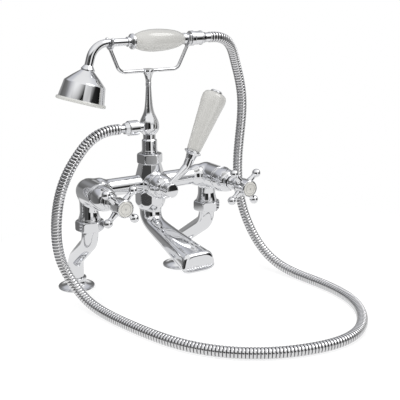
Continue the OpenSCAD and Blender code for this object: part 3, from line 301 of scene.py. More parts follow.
def geometry_tree(name, inputs):
    """An empty Geometry Nodes tree with its named inputs, and its first and last node."""
    tree = bpy.data.node_groups.new(name, "GeometryNodeTree")
    tree.interface.new_socket("Geometry", in_out="INPUT", socket_type="NodeSocketGeometry")
    for label, kind in inputs:
        tree.interface.new_socket(label, in_out="INPUT", socket_type="NodeSocket" + kind)
    tree.interface.new_socket("Geometry", in_out="OUTPUT", socket_type="NodeSocketGeometry")
    return tree, tree.nodes.new("NodeGroupInput"), tree.nodes.new("NodeGroupOutput")


def grown(name, points, edges, tree, values):
    """A plain mesh object that a Geometry Nodes tree makes from points and edges."""
    seed = bpy.data.objects.new(name, bpy.data.meshes.new(name + "_seed"))
    seed.data.from_pydata(points, edges, [])
    bpy.context.scene.collection.objects.link(seed)
    modifier = seed.modifiers.new("grow", "NODES")
    modifier.node_group = tree
    for item in tree.interface.items_tree:
        if item.in_out == "INPUT" and item.name in values:
            modifier[item.identifier] = values[item.name]
    graph = bpy.context.evaluated_depsgraph_get()
    mesh = bpy.data.meshes.new_from_object(seed.evaluated_get(graph), depsgraph=graph)
    seed.modifiers.clear()
    seed.data = mesh
    mesh.name = name
    return seed


HOSE_D = 0.014
HOSE_RIBS = 320
ribbed, start, end = geometry_tree("hose_ribs", [("Ribs", "Int"), ("Radius", "Float"), ("Rib", "Float"),
                                                 ("Steel", "Material"), ("Core", "Material")])
route = ribbed.nodes.new("GeometryNodeMeshToCurve")
spots = ribbed.nodes.new("GeometryNodeCurveToPoints")
ring = ribbed.nodes.new("GeometryNodeCurvePrimitiveCircle")
ring.inputs["Resolution"].default_value = 28
bead = ribbed.nodes.new("GeometryNodeCurvePrimitiveCircle")
bead.inputs["Resolution"].default_value = 10
bead.inputs["Radius"].default_value = 1
flat = ribbed.nodes.new("GeometryNodeTransform")
flat_size = ribbed.nodes.new("ShaderNodeCombineXYZ")
flat_size.inputs["Z"].default_value = 1
half = ribbed.nodes.new("ShaderNodeMath")
half.operation = "MULTIPLY"
half.inputs[1].default_value = 0.32
mid = ribbed.nodes.new("ShaderNodeMath")
mid.operation = "SUBTRACT"
sweep_ring = ribbed.nodes.new("GeometryNodeCurveToMesh")
place_rings = ribbed.nodes.new("GeometryNodeInstanceOnPoints")
steel = ribbed.nodes.new("GeometryNodeSetMaterial")
tube = ribbed.nodes.new("GeometryNodeCurvePrimitiveCircle")
tube.inputs["Resolution"].default_value = 16
core_r = ribbed.nodes.new("ShaderNodeMath")
core_r.operation = "MULTIPLY"
core_r.inputs[1].default_value = 0.9
sweep_core = ribbed.nodes.new("GeometryNodeCurveToMesh")
sweep_core.inputs["Fill Caps"].default_value = True
dark = ribbed.nodes.new("GeometryNodeSetMaterial")
both = ribbed.nodes.new("GeometryNodeJoinGeometry")
real = ribbed.nodes.new("GeometryNodeRealizeInstances")
wired(ribbed.links.new, [
    (start, "Geometry", route, "Mesh"), (route, "Curve", spots, "Curve"),
    (start, "Ribs", spots, "Count"), (start, "Rib", half, 0), (start, "Radius", mid, 0),
    (half, 0, mid, 1), (mid, 0, ring, "Radius"), (half, 0, flat_size, "X"),
    (start, "Rib", flat_size, "Y"), (bead, "Curve", flat, "Geometry"),
    (flat_size, "Vector", flat, "Scale"), (ring, "Curve", sweep_ring, "Curve"),
    (flat, "Geometry", sweep_ring, "Profile Curve"), (spots, "Points", place_rings, "Points"),
    (sweep_ring, "Mesh", place_rings, "Instance"), (spots, "Rotation", place_rings, "Rotation"),
    (place_rings, "Instances", steel, "Geometry"), (start, "Steel", steel, "Material"),
    (start, "Radius", core_r, 0), (core_r, 0, tube, "Radius"), (route, "Curve", sweep_core, "Curve"),
    (tube, "Curve", sweep_core, "Profile Curve"), (sweep_core, "Mesh", dark, "Geometry"),
    (start, "Core", dark, "Material"), (steel, "Geometry", both, "Geometry"),
    (dark, "Geometry", both, "Geometry"), (both, "Geometry", real, "Geometry"),
    (real, "Geometry", end, "Geometry")])
hose = grown("hose", hose_line, [(i, i + 1) for i in range(len(hose_line) - 1)], ribbed,
             {"Ribs": HOSE_RIBS, "Radius": HOSE_D / 2, "Rib": 0.43 * hose_len / HOSE_RIBS,
              "Steel": hose_chrome, "Core": shaded_hose_core})
hose.data.shade_smooth()
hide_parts("shower_hose")
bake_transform(hose)


# Hose nut and ferrule at the riser's outlet: turned brass, chromed. The nut is screwed on the outlet's
# thread over a washer, and the ferrule holds the end of the hose.
def rounded(corners, closed=False):
    """The points of a line through the corners; each corner is a place and the radius of its bend."""
    places = [Vector(corner[:-1]) for corner in corners]
    bends = [corner[-1] for corner in corners]
    count = len(corners)
    line = []
    for i, here in enumerate(places):
        back = places[i - 1] - here
        ahead = places[(i + 1) % count] - here
        if bends[i] == 0 or (not closed and i in (0, count - 1)):
            line.append(here)
            continue
        half_angle = back.angle(ahead) / 2
        if half_angle > math.radians(89.8):
            line.append(here)
            continue
        room = min(back.length * (0.5 if bends[i - 1] else 1),
                   ahead.length * (0.5 if bends[(i + 1) % count] else 1))
        cut = min(bends[i] / math.tan(half_angle), 0.999 * room)
        bend = cut * math.tan(half_angle)
        back.normalize()
        ahead.normalize()
        centre = here + (back + ahead).normalized() * bend / math.sin(half_angle)
        first = here + back * cut - centre
        last = here + ahead * cut - centre
        sweep = math.pi - 2 * half_angle
        steps = max(3, round(math.degrees(sweep) / 7))
        for k in range(steps + 1):
            t = k / steps
            spot = first * math.sin((1 - t) * sweep) + last * math.sin(t * sweep)
            line.append(centre + spot / math.sin(sweep))
    return line


def turned(made, corners, place, closed=False, slices=72):
    """Adds a form turned about its Z axis; each corner is radius, height and the radius of its bend."""
    rings = []
    for r, z in rounded(corners, closed):
        turns = [2 * math.pi * k / slices for k in range(slices if r > 1e-6 else 1)]
        rings.append([made.verts.new(place @ Vector((r * math.cos(a), r * math.sin(a), z))) for a in turns])
    for low, high in zip(rings, rings[1:] + rings[:1] if closed else rings[1:]):
        for i in range(slices):
            j = i + 1
            corner = [low[i % len(low)], low[j % len(low)], high[j % len(high)], high[i % len(high)]]
            corner = list(dict.fromkeys(corner))
            if len(corner) > 2:
                made.faces.new(corner)


def piece(name, made, material, crease=32):
    """The object of a finished form, with its normals outward and its sharp edges kept."""
    bmesh.ops.recalc_face_normals(made, faces=made.faces)
    mesh = bpy.data.meshes.new(name)
    made.to_mesh(mesh)
    made.free()
    mesh.materials.append(material)
    mesh.shade_smooth()
    mesh.set_sharp_from_angle(angle=math.radians(crease))
    obj = bpy.data.objects.new(name, mesh)
    bpy.context.scene.collection.objects.link(obj)
    return obj


def fit(obj, body, slot, *nodes):
    """The object moves with the body and shows in place of the CAD nodes; the slot is not used."""
    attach(obj, body)
    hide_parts(*nodes)
    return obj


chrome = metal("chrome", (0.82, 0.825, 0.84), 0.03, 0.08)


def turning(name, node, body, place, corners, finish=(chrome, "chrome"), closed=False, slices=72):
    """A piece that is one turned form, in place of its CAD node; its finish is a material and a slot."""
    made = bmesh.new()
    turned(made, corners, place, closed, slices)
    material, slot = finish
    return fit(piece(name, made, material), body, slot, node)


at_outlet = MM @ Matrix.Translation((0, -REACH, OUTLET_Z)) @ Matrix.Rotation(-math.pi / 2, 4, "Y")
outlet_nut = turning("outlet_nut", "outlet_hose_nut", "mixer", at_outlet, [
    (6.6, 17, 0), (9, 17, 0.5), (9.8, 17.8, 0.5), (9.8, 31, 0.8), (8.6, 31.6, 0.4), (8, 33.6, 0.5),
    (7, 37, 0.4), (4.9, 37, 0)], closed=True)
outlet_sleeve = turning("outlet_sleeve", "outlet_ferrule", "mixer", at_outlet, [
    (0, 30, 0), (4.85, 30, 0), (4.85, 44, 0), (6.6, 44, 0.3), (6.6, 45.4, 0.3), (0, 45.4, 0)])


# Legs: bent chromed tubes that carry the body from the deck. Each has a threaded tail below the deck and
# a collar at its head, which the union nut holds against the body.
def lofted(made, rings):
    """Adds a skin through rings of points, with flat ends."""
    rings = [[made.verts.new(p) for p in ring] for ring in rings]
    count = len(rings[0])
    for low, high in zip(rings, rings[1:]):
        for i in range(count):
            j = (i + 1) % count
            made.faces.new([low[i], low[j], high[j], high[i]])
    made.faces.new(rings[0][::-1])
    made.faces.new(rings[-1])


def swept(made, line, radius, sides=32):
    """Adds a round rod along a line, with flat ends; the radius may change from point to point."""
    line = [Vector(p) for p in line]
    radii = radius if isinstance(radius, list) else [radius] * len(line)
    ways = [(b - a).normalized() for a, b in zip(line, line[1:])]
    ways = [ways[0], *[(a + b).normalized() for a, b in zip(ways, ways[1:])], ways[-1]]
    across = ways[0].orthogonal().normalized()
    turns = [2 * math.pi * k / sides for k in range(sides)]
    rings = []
    for spot, way, r in zip(line, ways, radii):
        across = (across - way * across.dot(way)).normalized()
        up = way.cross(across)
        rings.append([spot + r * (across * math.cos(a) + up * math.sin(a)) for a in turns])
    lofted(made, rings)


FOOT_X, INLET_X, LEG_R = 84, 90, 11
TAIL_END, THREADS, THREAD_PITCH, THREAD_ROOT, THREAD_R = -58, 27, 2, 11.9, 13.2
SIDES = {"hot": -1, "cold": 1}
for hand, side in SIDES.items():
    made = bmesh.new()
    leg_line = rounded([(side * FOOT_X, 0, -2, 0), (side * FOOT_X, 0, 41.3, 24),
                        (side * INLET_X, -REACH, 85.2, 24), (side * INLET_X, -REACH, 107.5, 0)])
    swept(made, [MM @ p for p in leg_line], 0.001 * LEG_R, 48)
    thread = [(0, TAIL_END, 0), (11.8, TAIL_END, 0)]
    for k in range(THREADS):
        low = TAIL_END + 1 + THREAD_PITCH * k
        thread += [(THREAD_ROOT, low, 0.2), (THREAD_R, low + 1, 0.2)]
    turned(made, [*thread, (THREAD_ROOT, -2, 0), (0, -2, 0)], MM @ Matrix.Translation((side * FOOT_X, 0, 0)))
    turned(made, [(0, 104.5, 0), (13.1, 104.5, 0), (13.1, 107.5, 0), (0, 107.5, 0)],
           MM @ Matrix.Translation((side * INLET_X, -REACH, 0)))
    fit(piece(hand + "_leg_tube", made, chrome), "mixer", "chrome", hand + "_leg")


# Flanges: spun brass bells, chromed. They slide down the legs, stand on the deck and hide its holes,
# and each has a bead where it meets the leg.
def hollow(first, last, steps=12):
    """Corners of a concave curve that leaves the first place inwards and reaches the last upwards."""
    return [(first[0] + (last[0] - first[0]) * math.sin(a), last[1] + (first[1] - last[1]) * math.cos(a), 0)
            for a in [math.pi / 2 * k / steps for k in range(steps + 1)]]


for hand, side in SIDES.items():
    at_foot = MM @ Matrix.Translation((side * FOOT_X, 0, 0))
    turning(hand + "_flange_bell", hand + "_flange", "mixer", at_foot, [
        (11.1, 0, 0), (24.9, 0, 0.4), (25.5, 1.25, 0.6), (24.9, 2.5, 0.5), *hollow((24.4, 2.6), (13.5, 12)),
        (14.3, 12.6, 0.5), (14.3, 14.2, 0.6), (13.5, 15, 0.4), (11.1, 15, 0)], closed=True)


# Union nuts and riser nut: chromed brass with six flats and soft polished corners. Such polished pieces
# and castings are the surface of a distance field, so that their forms run together without a seam.
def smooth(a, b, width):
    """The nearer of two fields, rounded over the width where they meet."""
    part = np.clip(0.5 + 0.5 * (b - a) / width, 0, 1)
    return b + (a - b) * part - width * part * (1 - part)


def both_of(a, b, width):
    """What two fields have in common, its edge rounded over the width."""
    return -smooth(-a, -b, width)


def slope(field, spots):
    """Which way a field rises."""
    h = 0.03
    return np.stack([(field(spots + step) - field(spots - step)) / (2 * h) for step in h * np.eye(3)], -1)


def cast(name, field, low, high, cell, material, place):
    """The object of a field's zero surface, in a box in millimetres, with the field's own normals."""
    low = np.array(low, float) - 3 * cell
    counts = np.ceil((np.array(high, float) + 3 * cell - low) / cell).astype(int)
    axes = [low[i] + cell * np.arange(counts[i]) for i in range(3)]
    grid = np.stack(np.meshgrid(*axes, indexing="ij"), -1)
    level = openvdb.FloatGrid(10.0)
    level.copyFromArray(np.clip(field(grid), -10, 10).astype(np.float32))
    spots, quads = level.convertToQuads()
    spots = spots.astype(float) * cell + low
    for _ in range(4):
        rise = slope(field, spots)
        step = field(spots) / np.maximum((rise ** 2).sum(-1), 0.05)
        spots = spots - np.clip(step, -0.4 * cell, 0.4 * cell)[:, None] * rise
    rise = slope(field, spots)
    rise /= np.maximum(np.linalg.norm(rise, axis=-1, keepdims=True), 1e-9)
    corner = spots[quads[:, :3]]
    facing = np.cross(corner[:, 1] - corner[:, 0], corner[:, 2] - corner[:, 0])
    if (facing * rise[quads[:, 0]]).sum() < 0:
        quads = quads[:, ::-1]
    turn = np.array(place.to_3x3().normalized())
    mesh = bpy.data.meshes.new(name)
    mesh.from_pydata([place @ Vector(p) for p in spots], [], quads.tolist())
    mesh.materials.append(material)
    mesh.shade_smooth()
    mesh.normals_split_custom_set_from_vertices((rise @ turn.T).tolist())
    obj = bpy.data.objects.new(name, mesh)
    bpy.context.scene.collection.objects.link(obj)
    return obj


def nut_field(flats, height, bore):
    """A hexagon nut that stands on its origin, with chamfered ends and a round bore."""
    def field(spots):
        x, y, z = spots[..., 0], spots[..., 1], spots[..., 2] - height / 2
        nut = np.abs(x)
        for angle in (math.pi / 3, 2 * math.pi / 3):
            nut = both_of(nut, np.abs(x * math.cos(angle) + y * math.sin(angle)), 0.5)
        nut = nut - flats / 2
        ends = np.hypot(x, y) - flats * 0.58 + 1.8 * np.abs(2 * z / height) ** 6
        nut = both_of(both_of(nut, ends, 0.8), np.abs(z) - height / 2, 1.0)
        return both_of(nut, bore - np.hypot(x, y), 0.3)
    return field


NUTS = [("hot_union_nut", -INLET_X, 101, 33, 12, 11.4), ("cold_union_nut", INLET_X, 101, 33, 12, 11.4),
        ("riser_nut", 0, 179, 30, 10, 9.9)]
NUT_H = 13.5
for node, x, z, flats, turn, bore in NUTS:
    place = MM @ Matrix.Translation((x, -REACH, z)) @ Matrix.Rotation(math.radians(turn), 4, "Z")
    reach = 0.6 * flats
    nut = cast(node + "_hex", nut_field(flats, NUT_H, bore), (-reach, -reach, 0), (reach, reach, NUT_H), 0.5,
               chrome, place)
    fit(nut, "mixer", "chrome", node)


# Mixer body: one polished brass casting. A bar joins two round valve housings on their inlet necks
# and runs through an eight-sided boss, which carries the diverter in front, the riser and the spout.
BODY_Z = 153
HOUSING_R, GROOVE_R = 16, 14.5


def housing(across, forward, face):
    """A valve housing with a round back, a rounded front edge and the neck behind its cover."""
    drum = both_of(np.hypot(across, np.minimum(forward, 0)) - HOUSING_R, forward - face, 0.8)
    neck = np.maximum(np.maximum(across - GROOVE_R, forward - face - 3), -forward)
    return np.minimum(drum, neck)


def eight_sided(x, y, half_flat):
    """An upright octagonal prism, its corners slightly polished away."""
    square = both_of(np.abs(x), np.abs(y), 0.6)
    diagonal = (np.abs(x) + np.abs(y)) / math.sqrt(2)
    return both_of(square, diagonal, 0.6) - half_flat


def body_field(spots):
    """The whole casting, the same on both sides, about the middle of its bar."""
    x, forward, z = np.abs(spots[..., 0]), -spots[..., 1], spots[..., 2]
    flare = np.clip((x - 62) / 12, 0, 1)
    bar = np.maximum(np.hypot(forward, z) - 11.5 - 3.5 * flare ** 2 * (3 - 2 * flare), x - INLET_X)
    valve = housing(np.hypot(x - INLET_X, z), forward, 33)
    up = np.clip((z + 36.5) / 11, 0, 1)
    neck_r = np.where(z < -38.1, 13.1, 12 + 2.4 * (1 - up) ** 2)
    neck = both_of(np.hypot(x - INLET_X, forward) - neck_r, np.abs(z + 21.75) - 21.75, 0.4)
    column = np.hypot(x, forward)
    bulb = np.maximum(np.hypot(column, np.maximum(z + 20, -15)) - 21.2, -37 - z)
    petals = both_of(bulb, eight_sided(x, forward, 18.8), 0.4)
    waist = np.maximum(column - 17, np.abs(z + 4) - 13)
    rise = np.clip((z - 6) / 20, 0, 1)
    collar = both_of(eight_sided(x, forward, 19 - 5 * rise), np.abs(z - 16) - 10, 0.5)
    stub = np.maximum(column - 9.8, np.abs(z - 20) - 16)
    diverter = housing(np.hypot(x, z), forward, 22)
    ends = smooth(smooth(bar, valve, 3), neck, 4)
    middle = np.minimum(np.minimum(smooth(petals, waist, 1.5), collar), stub)
    return smooth(ends, smooth(middle, diverter, 1.2), 1.2)


body = cast("body_casting", body_field, (-107, -37, -45), (107, 21, 37), 0.9, chrome,
            MM @ Matrix.Translation((0, -REACH, BODY_Z)))
fit(body, "mixer", "chrome", "mixer_body")


# Spout: a hollow brass casting, polished and chromed. It leaves the boss as a round pipe and widens to a
# flat upright nose; the water falls through a slot in its underside.
# Stations: top forward and height, low forward and height, half widths at top and low, squareness
SPOUT = [(14.5, 118, -14.5, 118, 14.5, 14.5, 2.0), (14.5, 112, -14.5, 108, 14.5, 14.5, 2.0),
         (16, 107, -11, 97, 14.3, 14.3, 2.1), (22, 104, 2, 89.5, 14, 14.2, 2.5),
         (45, 99.7, 30, 83.8, 15, 16.5, 3.2), (82, 92.8, 74, 73.8, 17.6, 19.2, 3.8),
         (117.5, 88.6, 121.4, 63.5, 20.5, 25, 3.8)]
# The rounded edge of the nose: how far its top and its low run forward, and how far in it comes
NOSE_BROW, NOSE_LIP, NOSE_TOP, NOSE_LOW, NOSE_SIDE = 5.6, 2.2, 4.6, 1.5, 5.5
stations = bspline(SPOUT, 16)
for a in [math.radians(7.5 * k) for k in range(1, 13)]:
    on, inset = math.sin(a), 1 - math.cos(a)
    stations.append(Vector(SPOUT[-1]) + Vector((NOSE_BROW * on, -NOSE_TOP * inset, NOSE_LIP * on,
                                                NOSE_LOW * inset, -NOSE_SIDE * inset, -NOSE_SIDE * inset, 0)))
# The flat of the nose begins a little inside its rounded edge
NOSE_FLAT, NOSE_NARROW = 0.06, 0.92
top_f, top_z, low_f, low_z, top_w, low_w, square = stations[-1]
lean, fall = NOSE_FLAT * (low_f - top_f), NOSE_FLAT * (low_z - top_z)
stations.append(Vector((top_f + lean, top_z + fall, low_f - lean, low_z - fall, NOSE_NARROW * top_w,
                        NOSE_NARROW * low_w, square)))
SPOUT_SIDES = 192
rings = []
for top_f, top_z, low_f, low_z, top_w, low_w, square in stations:
    ring = []
    for a in [2 * math.pi * k / SPOUT_SIDES for k in range(SPOUT_SIDES)]:
        across = math.copysign(abs(math.cos(a)) ** (2 / square), math.cos(a))
        share = (1 + math.copysign(abs(math.sin(a)) ** (2 / square), math.sin(a))) / 2
        ring.append(MM @ Vector((across * (low_w + (top_w - low_w) * share),
                                 -REACH - low_f - (top_f - low_f) * share, low_z + (top_z - low_z) * share)))
    rings.append(ring)
made = bmesh.new()
lofted(made, rings)
SPOUT_CREASE = 40
spout = piece("spout_casting", made, chrome, SPOUT_CREASE)
SLOT_AT, SLOT_SIZE = (0, -REACH - 109.5, 67), (29, 15, 18)
made = bmesh.new()
bmesh.ops.create_cube(made, size=1,
                      matrix=MM @ Matrix.Translation(SLOT_AT) @ Matrix.Diagonal((*SLOT_SIZE, 1)))
slot = piece("spout_slot", made, chrome)
spout.modifiers.new("slot", "BOOLEAN").object = slot
graph = bpy.context.evaluated_depsgraph_get()
spout.data = bpy.data.meshes.new_from_object(spout.evaluated_get(graph), depsgraph=graph)
spout.modifiers.clear()
spout.data.shade_smooth()
spout.data.set_sharp_from_angle(angle=math.radians(SPOUT_CREASE))
bpy.data.objects.remove(slot)
fit(spout, "mixer", "chrome", "spout")


# Valve covers and diverter cover: turned brass bells, chromed. They are screwed into the housings and
# close them in front of a thin groove.
def bulged(first, last, steps=14):
    """Corners of a convex curve that leaves the first place forward and reaches the last inwards."""
    return [(last[0] + (first[0] - last[0]) * math.cos(a), first[1] + (last[1] - first[1]) * math.sin(a), 0)
            for a in [math.pi / 2 * k / steps for k in range(steps + 1)]]


face_front = Matrix.Rotation(math.pi / 2, 4, "X")
at_diverter = MM @ Matrix.Translation((0, -REACH, BODY_Z)) @ face_front
at_valve = {hand: MM @ Matrix.Translation((side * INLET_X, -REACH, BODY_Z)) @ face_front
            for hand, side in SIDES.items()}
for node, place, rear, length in (("hot_valve_cover", at_valve["hot"], 36, 25),
                                  ("cold_valve_cover", at_valve["cold"], 36, 25),
                                  ("diverter_cover", at_diverter, 25, 23)):
    front = rear + length
    turning(node + "_bell", node, "mixer", place, [
        (0, rear, 0), (17.3, rear, 0.8), (17.3, rear + 2.5, 0.8),
        *bulged((16.3, rear + 2.5), (10.25, front - 3)), (10.25, front - 1, 0.3), (9.25, front, 0.4),
        (0, front, 0)])


# Cross handles: a turned and chromed hub with four tapered arms and balls; a glazed ceramic index disc
# with a plain ring is pressed into the front and hides the screw.
glaze, inside, outside = finish_group("glaze", [
    ("Body", "Color", "INPUT"), ("Thin", "Color", "INPUT"), ("Color", "Color", "OUTPUT"),
    ("Roughness", "Float", "OUTPUT")])
where = glaze.nodes.new("ShaderNodeTexCoord")
cloud = glaze.nodes.new("ShaderNodeTexNoise")
cloud.inputs["Scale"].default_value = 16
cloud.inputs["Detail"].default_value = 0.5
tint = glaze.nodes.new("ShaderNodeMix")
tint.data_type = "RGBA"
sheen = glaze.nodes.new("ShaderNodeMapRange")
sheen.inputs["To Min"].default_value = 0.08
sheen.inputs["To Max"].default_value = 0.12
wired(glaze.links.new, [
    (where, "Object", cloud, "Vector"), (cloud, "Fac", tint, "Factor"), (inside, "Body", tint, "A"),
    (inside, "Thin", tint, "B"), (cloud, "Fac", sheen, "Value"), (tint, "Result", outside, "Color"),
    (sheen, "Result", outside, "Roughness")])


def glazed(name, body_colour, thin_colour):
    """A glazed ceramic, faintly clouded."""
    material = bpy.data.materials.new(name)
    material.use_nodes = True
    nodes = material.node_tree.nodes
    shader = nodes["Principled BSDF"]
    coat = nodes.new("ShaderNodeGroup")
    coat.node_tree = glaze
    coat.inputs["Body"].default_value = (*body_colour, 1)
    coat.inputs["Thin"].default_value = (*thin_colour, 1)
    material.node_tree.links.new(coat.outputs["Color"], shader.inputs["Base Color"])
    material.node_tree.links.new(coat.outputs["Roughness"], shader.inputs["Roughness"])
    shader.inputs["Coat Weight"].default_value = 0.4
    shader.inputs["Coat Roughness"].default_value = 0.04
    return material, coat, shader


ceramic, _, _ = glazed("ceramic", (0.58, 0.575, 0.55), (0.62, 0.615, 0.595))
ARM_AT, BALL_OUT, BALL_R = 90, 25, 5.6
ball = [(BALL_R * math.cos(a), BALL_OUT + BALL_R * math.sin(a), 0)
        for a in [math.radians(-51 + 141 * k / 14) for k in range(14)]]
for hand, turn in (("hot", 2), ("cold", -5)):
    place = at_valve[hand] @ Matrix.Rotation(math.radians(turn), 4, "Z")
    made = bmesh.new()
    turned(made, [(0, 62.9, 0), (9, 62.9, 0.7), (9, 65.9, 0.9), (7.5, 67.4, 0.8), (7.5, 73, 9), (11, 85, 9),
                  (11, 102.7, 0.5), (10.2, 103.5, 0.3), (9.6, 103.5, 0.1), (9.6, 101, 0), (0, 101, 0)], place)
    for k in range(4):
        arm = place @ Matrix.Rotation(math.radians(45 + 90 * k), 4, "Z") \
            @ Matrix.Translation((0, 0, ARM_AT)) @ Matrix.Rotation(math.pi / 2, 4, "Y")
        turned(made, [(0, 4, 0), (4.5, 6, 0), (4.3, 10.5, 1), (3.3, 17.5, 4), *ball,
                      (0, BALL_OUT + BALL_R, 0)], arm, slices=40)
    fit(piece(hand + "_cross", made, chrome), hand + "_handle", "chrome", hand + "_crosshead")
    disc, coat, shader = glazed(hand + "_enamel", (0.66, 0.65, 0.61), (0.72, 0.71, 0.67))
    nodes = disc.node_tree.nodes
    where = nodes.new("ShaderNodeTexCoord")
    offset = nodes.new("ShaderNodeVectorMath")
    offset.operation = "SUBTRACT"
    offset.inputs[1].default_value = place @ Vector((0, 0, 104))
    flatten = nodes.new("ShaderNodeVectorMath")
    flatten.operation = "MULTIPLY"
    flatten.inputs[1].default_value = (1, 0, 1)
    away = nodes.new("ShaderNodeVectorMath")
    away.operation = "LENGTH"
    bands = nodes.new("ShaderNodeValToRGB")
    bands.color_ramp.interpolation = "CONSTANT"
    scale = nodes.new("ShaderNodeMath")
    scale.operation = "MULTIPLY"
    scale.inputs[1].default_value = 100
    ramp = bands.color_ramp.elements
    for index, (edge, ink) in enumerate(((0, 0.6), (0.12, 0), (0.6, 0.5), (0.68, 0))):
        stop = ramp[index] if index < 2 else ramp.new(1)
        stop.position = edge
        stop.color = (ink, ink, ink, 1)
    inked = nodes.new("ShaderNodeMix")
    inked.data_type = "RGBA"
    inked.inputs["B"].default_value = (0.22, 0.22, 0.23, 1)
    wired(disc.node_tree.links.new, [
        (where, "Object", offset, 0), (offset, "Vector", flatten, 0), (flatten, "Vector", away, 0),
        (away, "Value", scale, 0), (scale, 0, bands, "Fac"), (bands, "Color", inked, "Factor"),
        (coat, "Color", inked, "A"), (inked, "Result", shader, "Base Color")])
    turning(hand + "_index_disc", hand + "_index", hand + "_handle", place, [
        (0, 101, 0), (9.5, 101, 0), (9.5, 102.9, 0.6), (8.5, 103.7, 0.6), (0, 104.1, 0)], (disc, "ceramic"))


# Diverter lever: a chromed hub and cap on the spool, a bent rod that thickens upwards, a flanged
# collar, and a ceramic grip held by a tie rod under its button.
LEVER_AT, RUN_ANGLE, LEVER_BEND = 51.7, math.radians(36), math.radians(28)
in_lever = at_diverter @ Matrix.Translation((0, 0, LEVER_AT)) @ Matrix.Rotation(RUN_ANGLE, 4, "Z")
grip_start = Vector((46.76, 11.87, 0))
made = bmesh.new()
turned(made, [(0, 48.4, 0), (9.3, 48.4, 0.6), (9.3, 55, 0.4), (0, 55, 0)], at_diverter)
ROD_PLAIN, ROD_RUN, ROD_START, ROD_END, ROD_UP = 10, 33.6, 2.6, 5.95, 6.15
lever_line = rounded([(0, ROD_UP, 0, 0), (ROD_PLAIN, ROD_UP, 0, 0), (ROD_RUN + 2.4, ROD_UP, 0, 12),
                      (*(grip_start + Vector((math.cos(LEVER_BEND), math.sin(LEVER_BEND), 0))), 0)])
swept(made, [in_lever @ p for p in lever_line],
      [0.001 * (ROD_START + (ROD_END - ROD_START) * min(1, max(0, p.x - ROD_PLAIN) / (ROD_RUN - ROD_PLAIN)))
       for p in lever_line], 36)
fit(piece("lever_rod", made, chrome), "diverter_lever", "chrome", "lever_arm")
turning("lever_cap_disc", "lever_hub_cap", "diverter_lever", at_diverter, [
    (0, 55, 0), (9.3, 55, 0.2), (9.3, 58.8, 1.8), (4, 59.1, 8), (0, 59.3, 0)])
along_grip = in_lever @ Matrix.Translation(grip_start) @ Matrix.Rotation(LEVER_BEND, 4, "Z") \
    @ Matrix.Rotation(math.pi / 2, 4, "Y")
turning("lever_bead", "lever_collar", "diverter_lever", along_grip, [
    (0, 0, 0), (6.2, 0, 0.2), (7.2, 6, 1.6), (10.3, 8.2, 0.8), (11.3, 9, 0.5), (11.3, 10.2, 0.5),
    (9.4, 11.2, 0.4), (8.6, 12, 0.2), (0, 12, 0)])
turning("lever_handle", "lever_grip", "diverter_lever", along_grip, [
    (0, 12, 0), (8.4, 12, 0.4), (9, 13, 0.6), (14.8, 70, 30), (16, 79, 12), *bulged((16, 84), (9.5, 91.5)),
    (8, 92, 0.3), (0, 92, 0)], (ceramic, "ceramic"))
turning("lever_button", "lever_cap", "diverter_lever", along_grip, [
    (0, 92, 0), (8, 92, 0.2), (8, 93, 0.8), (6.4, 94.7, 1.6), (0, 95, 0)])


# Riser: a turned and chromed column with a ball, from which the hose outlet branches to the left. The
# riser nut holds it on the body, and the cradle stands on its top.
at_riser = MM @ Matrix.Translation((0, -REACH, 0))
BULB_R = 13.2
bulb = [(BULB_R * math.cos(a), OUTLET_Z + BULB_R * math.sin(a), 0)
        for a in [math.radians(-51 + 59 * k / 12) for k in range(13)]]
drop = [(r, z, 0) for r, z in bspline([(13.1, 229.8), (12.8, 232.8), (10.9, 238.3), (6.5, 246.4),
                                       (4.7, 258.4), (3.9, 274), (3.4, 280.8)], 6)]
made = bmesh.new()
turned(made, [(0, 192.8, 0), (10.6, 192.8, 0.7), (10.6, 195.8, 1), (10.1, 197, 0.5), (10.1, 209.8, 0.8),
              (8.3, 211.8, 1.2), (8.3, 217.6, 1), *bulb, *drop[1:], (3.8, 281.2, 0.3), (3.8, 283, 0.3),
              (0, 283, 0)], at_riser)
turned(made, [(0, 0, 0), (6.5, 8, 0), (6.5, 16, 0), (7.4, 17, 0), (7.4, 26, 0), (0, 26, 0)], at_outlet)
fit(piece("riser_column", made, chrome), "mixer", "chrome", "riser")


# Cradle: a chromed brass rod bent up at both ends and brazed to a flared hub; each end is a fork with
# ball tips in which the hand shower lies.
ROD_R, TIP_R, BAR_Z, PRONG_H = 2.3, 2.5, 300.5, 3.7
made = bmesh.new()
turned(made, [(0, 283, 0), (3.8, 283, 0.3), (3.8, 285, 0.3), (3.5, 285.4, 0), (3.8, 289.5, 8), (5.2, 295, 8),
              (7.4, 299.6, 2), (7.4, 301.8, 0.8), (6, 303.2, 0.8), (0, 303.2, 0)], at_riser)
for x, bend, gap in ((-53.5, -41, 5.1), (59.5, 43.5, 5.9)):
    fork_z = HANDSET_Z + x * math.sin(HANDSET_TILT)
    seat = gap + ROD_R
    arm = rounded([(0, -REACH, BAR_Z, 0), (bend, -REACH, BAR_Z, 11), (x, -REACH, fork_z - seat, 0)])
    prongs = rounded([(x, -REACH - seat, fork_z + PRONG_H, 0), (x, -REACH - seat, fork_z - seat, seat),
                      (x, -REACH + seat, fork_z - seat, seat), (x, -REACH + seat, fork_z + PRONG_H, 0)])
    for rod in (arm, prongs):
        swept(made, [MM @ p for p in rod], 0.001 * ROD_R, 28)
    for way in (-1, 1):
        tip = MM @ Matrix.Translation((x, -REACH + way * seat, fork_z + PRONG_H))
        turned(made, [(TIP_R * math.cos(a), TIP_R * math.sin(a), 0)
                      for a in [math.radians(-90 + 15 * k) for k in range(13)]], tip, slices=28)
fit(piece("cradle_rod", made, chrome), "mixer", "chrome", "cradle")


